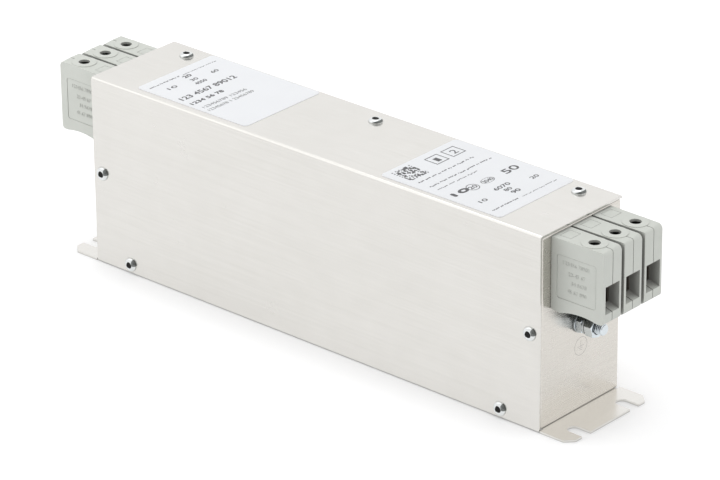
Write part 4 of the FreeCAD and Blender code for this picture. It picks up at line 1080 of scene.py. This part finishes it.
half_mesh = terminal_half()
mirrored_mesh = half_mesh.copy()
press_nose(half_mesh, NOSE_OUTSIDE[1])
press_nose(mirrored_mesh, NOSE_OUTSIDE[-1])
mirrored_mesh.transform(Matrix.Diagonal((1, -1, 1, 1)))
mirrored_mesh.flip_normals()
halves = {1: half_mesh, -1: mirrored_mesh}
print("terminal half:", len(half_mesh.polygons), "faces")

# %% [markdown]
# The same two meshes serve all six terminals. At the load end they point along +X. At the line end they
# are turned half round, which also swaps the two halves. The middle of each row is that of its clamp
# cage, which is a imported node.

# %% Set the terminals on the end panels


def row_middle(end, phase):
    """The place along Y of one terminal."""
    low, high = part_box("%s_terminal_%d_cage" % (end, phase))
    return (low.y + high.y) / 2


for end, sign in ENDS:
    for phase in PHASES:
        turn = Matrix.Rotation(0 if sign > 0 else math.pi, 4, "Z")
        spot = Matrix.Translation((sign * panel, row_middle(end, phase), block_top)) @ turn
        for half, place in (("front", -1), ("rear", 1)):
            node = "%s_terminal_%d_%s" % (end, phase, half)
            keep_flats_flat(put_piece(halves[place * sign], node + "_moulded", terminal_plastic,
                                      [node], where=spot))
print("terminals set:", len(ENDS) * len(PHASES))

# %% [markdown]
# Under each hole in the top stands a turned cup with a thin wall, in the darkest finish there is here.
# It is painted shade: from outside the hole shows only as darkness, and without the cup the eye would
# look past the screw into the lit funnel.

# %% Line the driver holes
GUIDE_RADIUS = 3.6 * MM
GUIDE_WALL = 0.25 * MM
GUIDE_GAP = 0.05 * MM
GUIDE_FLOOR = -7.6 * MM
GUIDE_STEPS = 32

inside, lip = GUIDE_RADIUS - GUIDE_WALL, -SHELL - GUIDE_GAP
cup = [(0, GUIDE_FLOOR + GUIDE_WALL), (inside, GUIDE_FLOOR + GUIDE_WALL), (inside, lip), (GUIDE_RADIUS, lip),
       (GUIDE_RADIUS, GUIDE_FLOOR), (0, GUIDE_FLOOR)]
bm = bmesh.new()
for end, sign in ENDS:
    for phase in PHASES:
        where = Matrix.Translation((sign * (panel + HOLE_X), row_middle(end, phase), block_top))
        turned(bm, cup, where, GUIDE_STEPS)
make_piece(bm, "driver_guides", small["hole_shade_black"])
print("driver holes lined with dark cups of radius", GUIDE_RADIUS / MM, "mm")

# %% [markdown]
# ## Raised numbers
# The outer sides of the terminals carry a few lines of fine raised type. Here they are plain numbers.
# A text curve gives the type its real strokes; it is turned into a mesh, set upright on the side panel
# of the outermost terminal, and drawn in with the same draft as the plastic it stands on.

# %% Raise fine numbers on the outer sides
NUMBER_LINES = (
    # distance from the panel's edge and height in mm, and the numbers
    (2.6, -10.2, "123456 78901"), (5.4, -14.4, "23-45 67"), (6.8, -18.0, "34 5678"), (5.0, -21.6, "45 67 890"),
)
NUMBER_SIZE = 2.295 * MM
NUMBER_PROUD = 0.30 * MM


def raised_text(text, size, thick):
    """The mesh of a line of type, lying in x and y."""
    curve = bpy.data.curves.new("type", "FONT")
    curve.body = text
    curve.size = size
    curve.extrude = thick / 2
    return taken_from(put_on_bench(curve, "type"))


bm = bmesh.new()
row_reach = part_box("load_terminal_3_rear")[1].y
middle = row_reach - BLOCK_HALF
for _, sign in ENDS:
    for face in (-1, 1):
        start = face * max(face * sign * (panel + edge) for edge in RECESS[:2])
        upright = Matrix(((-face, 0, 0), (0, 0, face), (0, 1, 0))).to_4x4()
        for inset, drop, text in NUMBER_LINES:
            mesh = raised_text(text, NUMBER_SIZE, NUMBER_PROUD)
            spot = (start - face * inset * MM, face * (row_reach - RECESS_DEEP), block_top + drop * MM)
            mesh.transform(Matrix.Translation(spot) @ upright)
            for vertex in mesh.vertices:
                vertex.co.y = face * middle + drawn_in(abs(vertex.co.x) - panel, vertex.co.y - face * middle)
            bm.from_mesh(mesh)
make_piece(bm, "terminal_side_numbers", terminal_plastic)
print("numbers raised on the outer sides,", round((row_reach - RECESS_DEEP) / MM, 2), "mm from the middle")

# %% [markdown]
# ## The earth stud
# A short threaded stud stands out of each end panel and clamps the earth lead. Its thread is what
# catches the light, so it is modelled: the radius goes up and down along the stud and once round each
# turn, which makes a true helix without any sweeping. The thread runs out just above the panel, and
# the tip is bevelled, as if by a cone.

# %% Cut the threaded studs
THREAD_PITCH = 0.8 * MM
THREAD_DEEP = 0.50 * MM
THREAD_STEPS = 8
THREAD_FLANK = 2.4
TIP_BEVEL = 0.45 * MM
ROD_SIDES = 36
STUD_RADIUS = 2.5 * MM
STUD_ROOT = 1.0 * MM
STUD_HEAD_RADIUS, STUD_HEAD_TALL = 4.0 * MM, 1.2 * MM


def threaded(bm, low, high, radius, where, bare=0.0):
    """A threaded rod between two heights with a bevelled end."""
    rows = []
    count = int((high - low) / THREAD_PITCH * THREAD_STEPS)
    for row in range(count + 1):
        height = low + (high - low) * row / count
        run_out = min(1.0, max(0.0, (height - low - bare) / THREAD_PITCH))
        ring = []
        for step in range(ROD_SIDES):
            share = (height / THREAD_PITCH - step / ROD_SIDES) % 1.0
            cut = THREAD_DEEP * min(1.0, abs(share - 0.5) * THREAD_FLANK)
            reach = min(radius - cut * run_out, radius - TIP_BEVEL + (high - height))
            ring.append(bm.verts.new(where @ around(reach, 2 * math.pi * step / ROD_SIDES, height)))
        rows.append(ring)
    for below, above in zip(rows, rows[1:]):
        walls(bm, below, above)
    bm.faces.new(rows[0])
    bm.faces.new(rows[-1])


stud_low, stud_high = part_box("earth_studs")
stud_height = (stud_low.z + stud_high.z) / 2
stud_tip = stud_high.x - panel


def at_stud(sign, turn=0.0):
    """The matrix that puts a piece on the stud of one end, turned by some degrees about it."""
    spot = pointing((sign, 0, 0), (sign * panel, 0, stud_height))
    return spot @ Matrix.Rotation(math.radians(turn), 4, "Z")


under = -STUD_ROOT - STUD_HEAD_TALL
head = [(0, -STUD_ROOT), (STUD_HEAD_RADIUS, -STUD_ROOT), (STUD_HEAD_RADIUS, under), (0, under)]
bm = bmesh.new()
for _, sign in ENDS:
    threaded(bm, -STUD_ROOT, stud_tip, STUD_RADIUS, at_stud(sign), bare=STUD_ROOT)
    turned(bm, head, at_stud(sign))
make_piece(bm, "earth_studs_threaded", bright_zinc, ["earth_studs"])
print("studs reach", round(stud_tip / MM, 2), "mm from the panel")

# %% [markdown]
# ## Washers
# A flat washer spreads the load and a spring washer keeps the nut tight. The flat one is turned, with
# narrow bevels on its rim. The spring washer is a ring with a gap, whose two ends lie at different
# heights, and that split is what tells it from a flat one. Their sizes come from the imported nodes.

# %% Turn the washers
WASHER_BORE = 2.7 * MM
WASHER_EDGE = 0.15 * MM
SPRING_GAP = math.radians(14)
SPRING_RISE = 0.16 * MM
SPRING_STEPS = 44


def on_stud(node):
    """The radius of a piece on the stud, and its two heights above the end panel."""
    low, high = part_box(node)
    inner = min(vertex.co.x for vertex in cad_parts[node].data.vertices if vertex.co.x > 0)
    return (high.y - low.y) / 2, inner - panel, high.x - panel


def washer_outline(radius, low, high):
    """The section of a flat washer, with its rim bevelled."""
    e = WASHER_EDGE
    return [(WASHER_BORE, low), (radius - e, low), (radius, low + e), (radius, high - e), (radius - e, high),
            (WASHER_BORE, high)]


def split_ring(bm, radius, low, high, where):
    """A spring washer: a ring with a gap, one end lifted above the other."""
    low, high = low + SPRING_RISE / 2, high - SPRING_RISE / 2
    rows = []
    for step in range(SPRING_STEPS + 1):
        share = step / SPRING_STEPS
        angle = SPRING_GAP / 2 + (2 * math.pi - SPRING_GAP) * share
        lift = SPRING_RISE * (share - 0.5)
        section = [(WASHER_BORE, low), (radius, low), (radius, high), (WASHER_BORE, high)]
        rows.append([bm.verts.new(where @ around(reach, angle, height + lift)) for reach, height in section])
    for here, after in zip(rows, rows[1:]):
        walls(bm, here, after)
    bm.faces.new(rows[0])
    bm.faces.new(rows[-1])


flat_size, spring_size = on_stud("earth_flat_washers"), on_stud("earth_spring_washers")
bm, spring = bmesh.new(), bmesh.new()
for _, sign in ENDS:
    turned(bm, washer_outline(*flat_size), at_stud(sign))
    split_ring(spring, *spring_size, at_stud(sign))
make_piece(bm, "earth_flat_washers_turned", bright_zinc, ["earth_flat_washers"])
make_piece(spring, "earth_spring_washers_split", bright_zinc, ["earth_spring_washers"])
print("washers of radius", round(flat_size[0] / MM, 2), "and", round(spring_size[0] / MM, 2), "mm")

# %% [markdown]
# ## Nuts
# A nut is a hexagon whose corners are cut by a cone, which leaves a curved line on every flat. So the
# radius and the height of the rim are worked out for each direction round the nut, and the flats, the
# corners and the curved lines come out of one loop. Each nut has its own turn, as the photograph shows.

# %% Shape the nuts
NUT_FLATS = 8.0 * MM
NUT_SIDES = 6
NUT_STEPS = 72
NUT_TURNS = {"earth_lock_nuts": -27.0, "earth_nuts": -15.0}
NUT_FACE = 0.97
NUT_CONE = math.radians(30)
NUT_PLAY = 0.05 * MM
NUT_LEAD = 0.3 * MM
NUT_SHARP = math.radians(20)


def nut(bm, low, high, where):
    """A hexagon nut with its corners cut by a cone at both ends."""
    face = NUT_FLATS / 2 * NUT_FACE
    bore = STUD_RADIUS + NUT_PLAY
    side_turn = 2 * math.pi / NUT_SIDES
    rings = []
    for step in range(NUT_STEPS):
        angle = 2 * math.pi * step / NUT_STEPS
        off = (step * NUT_SIDES % NUT_STEPS / NUT_STEPS - 0.5) * side_turn
        reach = NUT_FLATS / 2 / math.cos(off)
        fall = (reach - face) * math.tan(NUT_CONE)
        outline = [(bore, low + NUT_LEAD), (bore + NUT_LEAD, low), (face, low), (reach, low + fall),
                   (reach, high - fall), (face, high), (bore + NUT_LEAD, high), (bore, high - NUT_LEAD)]
        rings.append([bm.verts.new(where @ around(radius, angle, height)) for radius, height in outline])
    for step in range(NUT_STEPS):
        walls(bm, rings[step], rings[(step + 1) % NUT_STEPS])


for node, turn in NUT_TURNS.items():
    bm = bmesh.new()
    _, nut_low, nut_high = on_stud(node)
    for _, sign in ENDS:
        nut(bm, nut_low, nut_high, at_stud(sign, turn))
    make_piece(bm, node + "_chamfered", bright_zinc, [node], sharp=NUT_SHARP)
    print(node, "from", round(nut_low / MM, 2), "to", round(nut_high / MM, 2), "mm")

# %% [markdown]
# ## The stamped earth mark
# Below each stud the sheet carries the earth sign in a ring, struck so lightly that it shows only as a
# fine dark line. It is made as thin strips that stand a hair above the panel, which reads the same
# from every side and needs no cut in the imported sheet. The strips are thin boxes without a bottom.

# %% Strike the earth marks
MARK_PROUD = 0.015 * MM
MARK_LINE = 0.16 * MM
MARK_RADIUS = 3.9 * MM
MARK_STEPS = 64
MARK_CENTRE = (0.8 * MM, 27.9 * MM)
MARK_STEM = 2.4 * MM
MARK_BARS = ((0, 2.0 * MM), (0.8 * MM, 1.3 * MM), (1.6 * MM, 0.6 * MM))


def thin_box(bm, rim, low, high, where=Matrix.Identity(4), bottom=False):
    """A thin layer over an outline of points in x and y."""
    lows, highs = [[bm.verts.new(where @ Vector((x, y, level))) for x, y in rim] for level in (low, high)]
    bm.faces.new(highs)
    if bottom:
        bm.faces.new(list(reversed(lows)))
    walls(bm, lows, highs)


def strip(bm, start, end, where):
    """A thin straight bar between two points of a face, its length along the line between them."""
    start, end = Vector(start), Vector(end)
    across = (end - start).normalized().orthogonal() * MARK_LINE / 2
    thin_box(bm, [start - across, end - across, end + across, start + across], 0, MARK_PROUD, where)


inside = MARK_RADIUS - MARK_LINE
ring = [(inside, 0), (MARK_RADIUS, 0), (MARK_RADIUS, MARK_PROUD), (inside, MARK_PROUD)]
for end, sign in ENDS:
    bm = bmesh.new()
    axes = Matrix(((0, 0, sign), (sign, 0, 0), (0, 1, 0)))
    where = Matrix.Translation((sign * panel, sign * MARK_CENTRE[0], MARK_CENTRE[1])) @ axes.to_4x4()
    turned(bm, ring, where, MARK_STEPS)
    strip(bm, (0, MARK_STEM), (0, 0), where)
    for drop, half in MARK_BARS:
        strip(bm, (-half, -drop), (half, -drop), where)
    make_piece(bm, end + "_earth_mark", small["mark_grey"])
print("earth marks struck, radius", MARK_RADIUS / MM, "mm")

# %% [markdown]
# ## The printed labels
# Both labels are white film with small dark print. This print is made of plain rules, dashes, numbers
# and a random hatch. The ink is a thin layer just above the film, so it stays sharp at any distance,
# which a painted picture would not. All lines run across the case, along Y. Fine print is too small to
# read, so it is drawn as short strokes of random length, and the same seed gives the same strokes again.

# %% Draw ink, dashes and hatches
INK_THICK = 0.01 * MM
INK_LIFT = 0.004 * MM
HATCH_SHARE = 0.5
DASH_COUNT = (2, 7)
DASH_LONG = (0.35, 0.8)
DASH_DROPS = (0.0, 0.0, 0.15, 0.3)
DASH_GAP, WORD_GAP = 0.18, 0.6
SEED = 11
ink_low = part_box("load_label")[1].z + INK_LIFT
chance = random.Random(SEED)


def ink_box(bm, x_low, x_high, y_low, y_high):
    """A rectangle of ink, its places in millimetres."""
    rim = [(x * MM, y * MM) for x, y in box_outline(x_low, x_high, y_low, y_high)]
    thin_box(bm, rim, ink_low, ink_low + INK_THICK, bottom=True)


def dashes(bm, x, y_start, y_end, tall, weight):
    """A line of fine print as short strokes in groups, running across the case."""
    y = y_start
    while y < y_end:
        for _ in range(chance.randint(*DASH_COUNT)):
            stroke = chance.uniform(*DASH_LONG) * tall
            if y + stroke > y_end:
                return
            low = x - tall / 2 + chance.choice(DASH_DROPS) * tall
            ink_box(bm, low, low + tall * weight, y, y + stroke)
            y += stroke + DASH_GAP * tall
        y += WORD_GAP * tall


def hatch(bm, x, y, side, cells):
    """A square patch of small squares set at random."""
    cell = side / cells
    for row in range(cells):
        for column in range(cells):
            if chance.random() < HATCH_SHARE:
                ink_box(bm, x + row * cell, x + (row + 1) * cell, y + column * cell, y + (column + 1) * cell)


print("ink starts at height", round(ink_low / MM, 3), "mm")

# %% [markdown]
# Larger print is real type. A text curve is fitted between two places, because the width of a line of
# numbers is what the eye compares first. Bold numbers are struck five times, each a little to one side,
# and each a hair higher so that no two faces lie in the same plane.

# %% Set type, ovals and frames
TYPE_SIZE = 1.35
STRIKES = ((0, 0), (1, 0), (-1, 0), (0, 1), (0, -1))
STRIKE_RISE = 0.001 * MM
OVAL_LINE = 0.35
OVAL_STEPS = 32
FRAME_LINE = 0.45


def numbers(bm, text, x, y_start, y_end, tall, bold):
    """Plain numbers fitted between two places along Y, struck again a little to each side when bold."""
    mesh = raised_text(text, tall * TYPE_SIZE * MM, INK_THICK)
    spread = [vertex.co.x for vertex in mesh.vertices]
    fit = Matrix.Diagonal(((y_end - y_start) * MM / (max(spread) - min(spread)), 1, 1, 1))
    mesh.transform(Matrix.Rotation(math.pi / 2, 4, "Z") @ fit @ Matrix.Translation((-min(spread), 0, 0)))
    for strike, (down, across) in enumerate(STRIKES if bold else STRIKES[:1]):
        height = ink_low + INK_THICK / 2 + strike * STRIKE_RISE
        foot = Vector(((x + down * bold) * MM, (y_start + across * bold) * MM, height))
        mesh.transform(Matrix.Translation(foot))
        bm.from_mesh(mesh)
        mesh.transform(Matrix.Translation(-foot))


def oval(bm, x, y, half_x, half_y):
    """A plain oval ring."""
    where = Matrix.Translation((x * MM, y * MM, ink_low)) @ Matrix.Diagonal((half_x / half_y, 1, 1, 1))
    outer, inner = half_y * MM, (half_y - OVAL_LINE) * MM
    turned(bm, [(inner, 0), (outer, 0), (outer, INK_THICK), (inner, INK_THICK)], where, OVAL_STEPS)


def frame_box(bm, x, y, tall, wide):
    """An empty frame drawn with four rules."""
    line, top, end = FRAME_LINE, x + tall, y + wide
    ink_box(bm, x, top, y, y + line)
    ink_box(bm, x, top, end - line, end)
    ink_box(bm, x, x + line, y + line, end - line)
    ink_box(bm, top - line, top, y + line, end - line)


print("bold type is struck", len(STRIKES), "times")

# %% [markdown]
# What stands on each label is a table: places and sizes in millimetres, X along the case and Y across
# it. One loop draws both prints. Only hatches and dashes draw from the random numbers, so their order
# in the table is the order in which they are drawn.

# %% Print both labels
PRINTS = {
    "load": (
        (hatch, ((38.4, -17.9, 10.6, 16),)),
        (frame_box, ((39.6, 0.3, 7.2, 7.4), (39.6, 10.1, 7.2, 7.7))),
        (dashes, ((52.8, -17.7, 15.3, 1.3, 0.5), (58.7, -17.8, 19.7, 1.3, 0.5), (62.8, -17.8, 7.4, 1.3, 0.35))),
        (numbers, (("1", 45.2, 2.8, 5.0, 3.6, 0.04), ("2", 45.2, 12.6, 15.4, 3.6, 0.04),
                   ("10", 71.8, -18.0, -9.4, 3.0, 0.34), ("20", 72.2, -9.0, -5.0, 2.4, 0.08),
                   ("3040", 72.4, -1.0, 4.4, 2.2, 0.06), ("50", 73.2, 11.2, 19.6, 4.0, 0.12),
                   ("6070", 80.3, -3.6, 5.2, 2.3, 0.09), ("80", 83.6, -1.5, 2.3, 2.1, 0.07),
                   ("90", 87.0, -1.0, 3.4, 2.2, 0.13), ("10", 83.3, -16.1, -12.0, 2.2, 0.07),
                   ("20", 84.0, 14.0, 18.3, 2.2, 0.07))),
        (oval, ((71.1, -7.0, 2.8, 2.9), (71.3, 1.7, 2.1, 3.6))),
        (dashes, ((91.0, -18.7, -2.4, 0.95, 0.7), (91.5, -1.0, 20.2, 0.9, 0.45))),
    ),
    "line": (
        (dashes, ((-92.2, -18.6, -1.0, 0.95, 0.7), (-91.7, 0.4, 20.5, 0.9, 0.45))),
        (numbers, (("10", -85.0, -14.2, -9.3, 2.2, 0.07), ("20", -88.7, -1.2, 2.9, 2.2, 0.13),
                   ("30", -84.3, -1.5, 2.3, 2.1, 0.07), ("4050", -80.4, -2.9, 3.4, 2.1, 0.09),
                   ("60", -83.8, 10.2, 14.0, 2.1, 0.07), ("123 4567 89012", -73.2, -18.7, 13.6, 3.1, 0.12),
                   ("1234 56 78", -67.2, -19.2, -0.6, 2.2, 0.16), ("123456789 123456", -61.3, -18.6, 6.8, 2.0, 0.0),
                   ("12345678 1 23456789", -57.7, -19.2, 7.5, 2.0, 0.0))),
    ),
}
for end, groups in PRINTS.items():
    bm = bmesh.new()
    for draw, rows in groups:
        for row in rows:
            draw(bm, *row)
    print(end, "label printed with", len(bm.faces), "faces of ink")
    make_piece(bm, end + "_label_print", small["label_ink"])
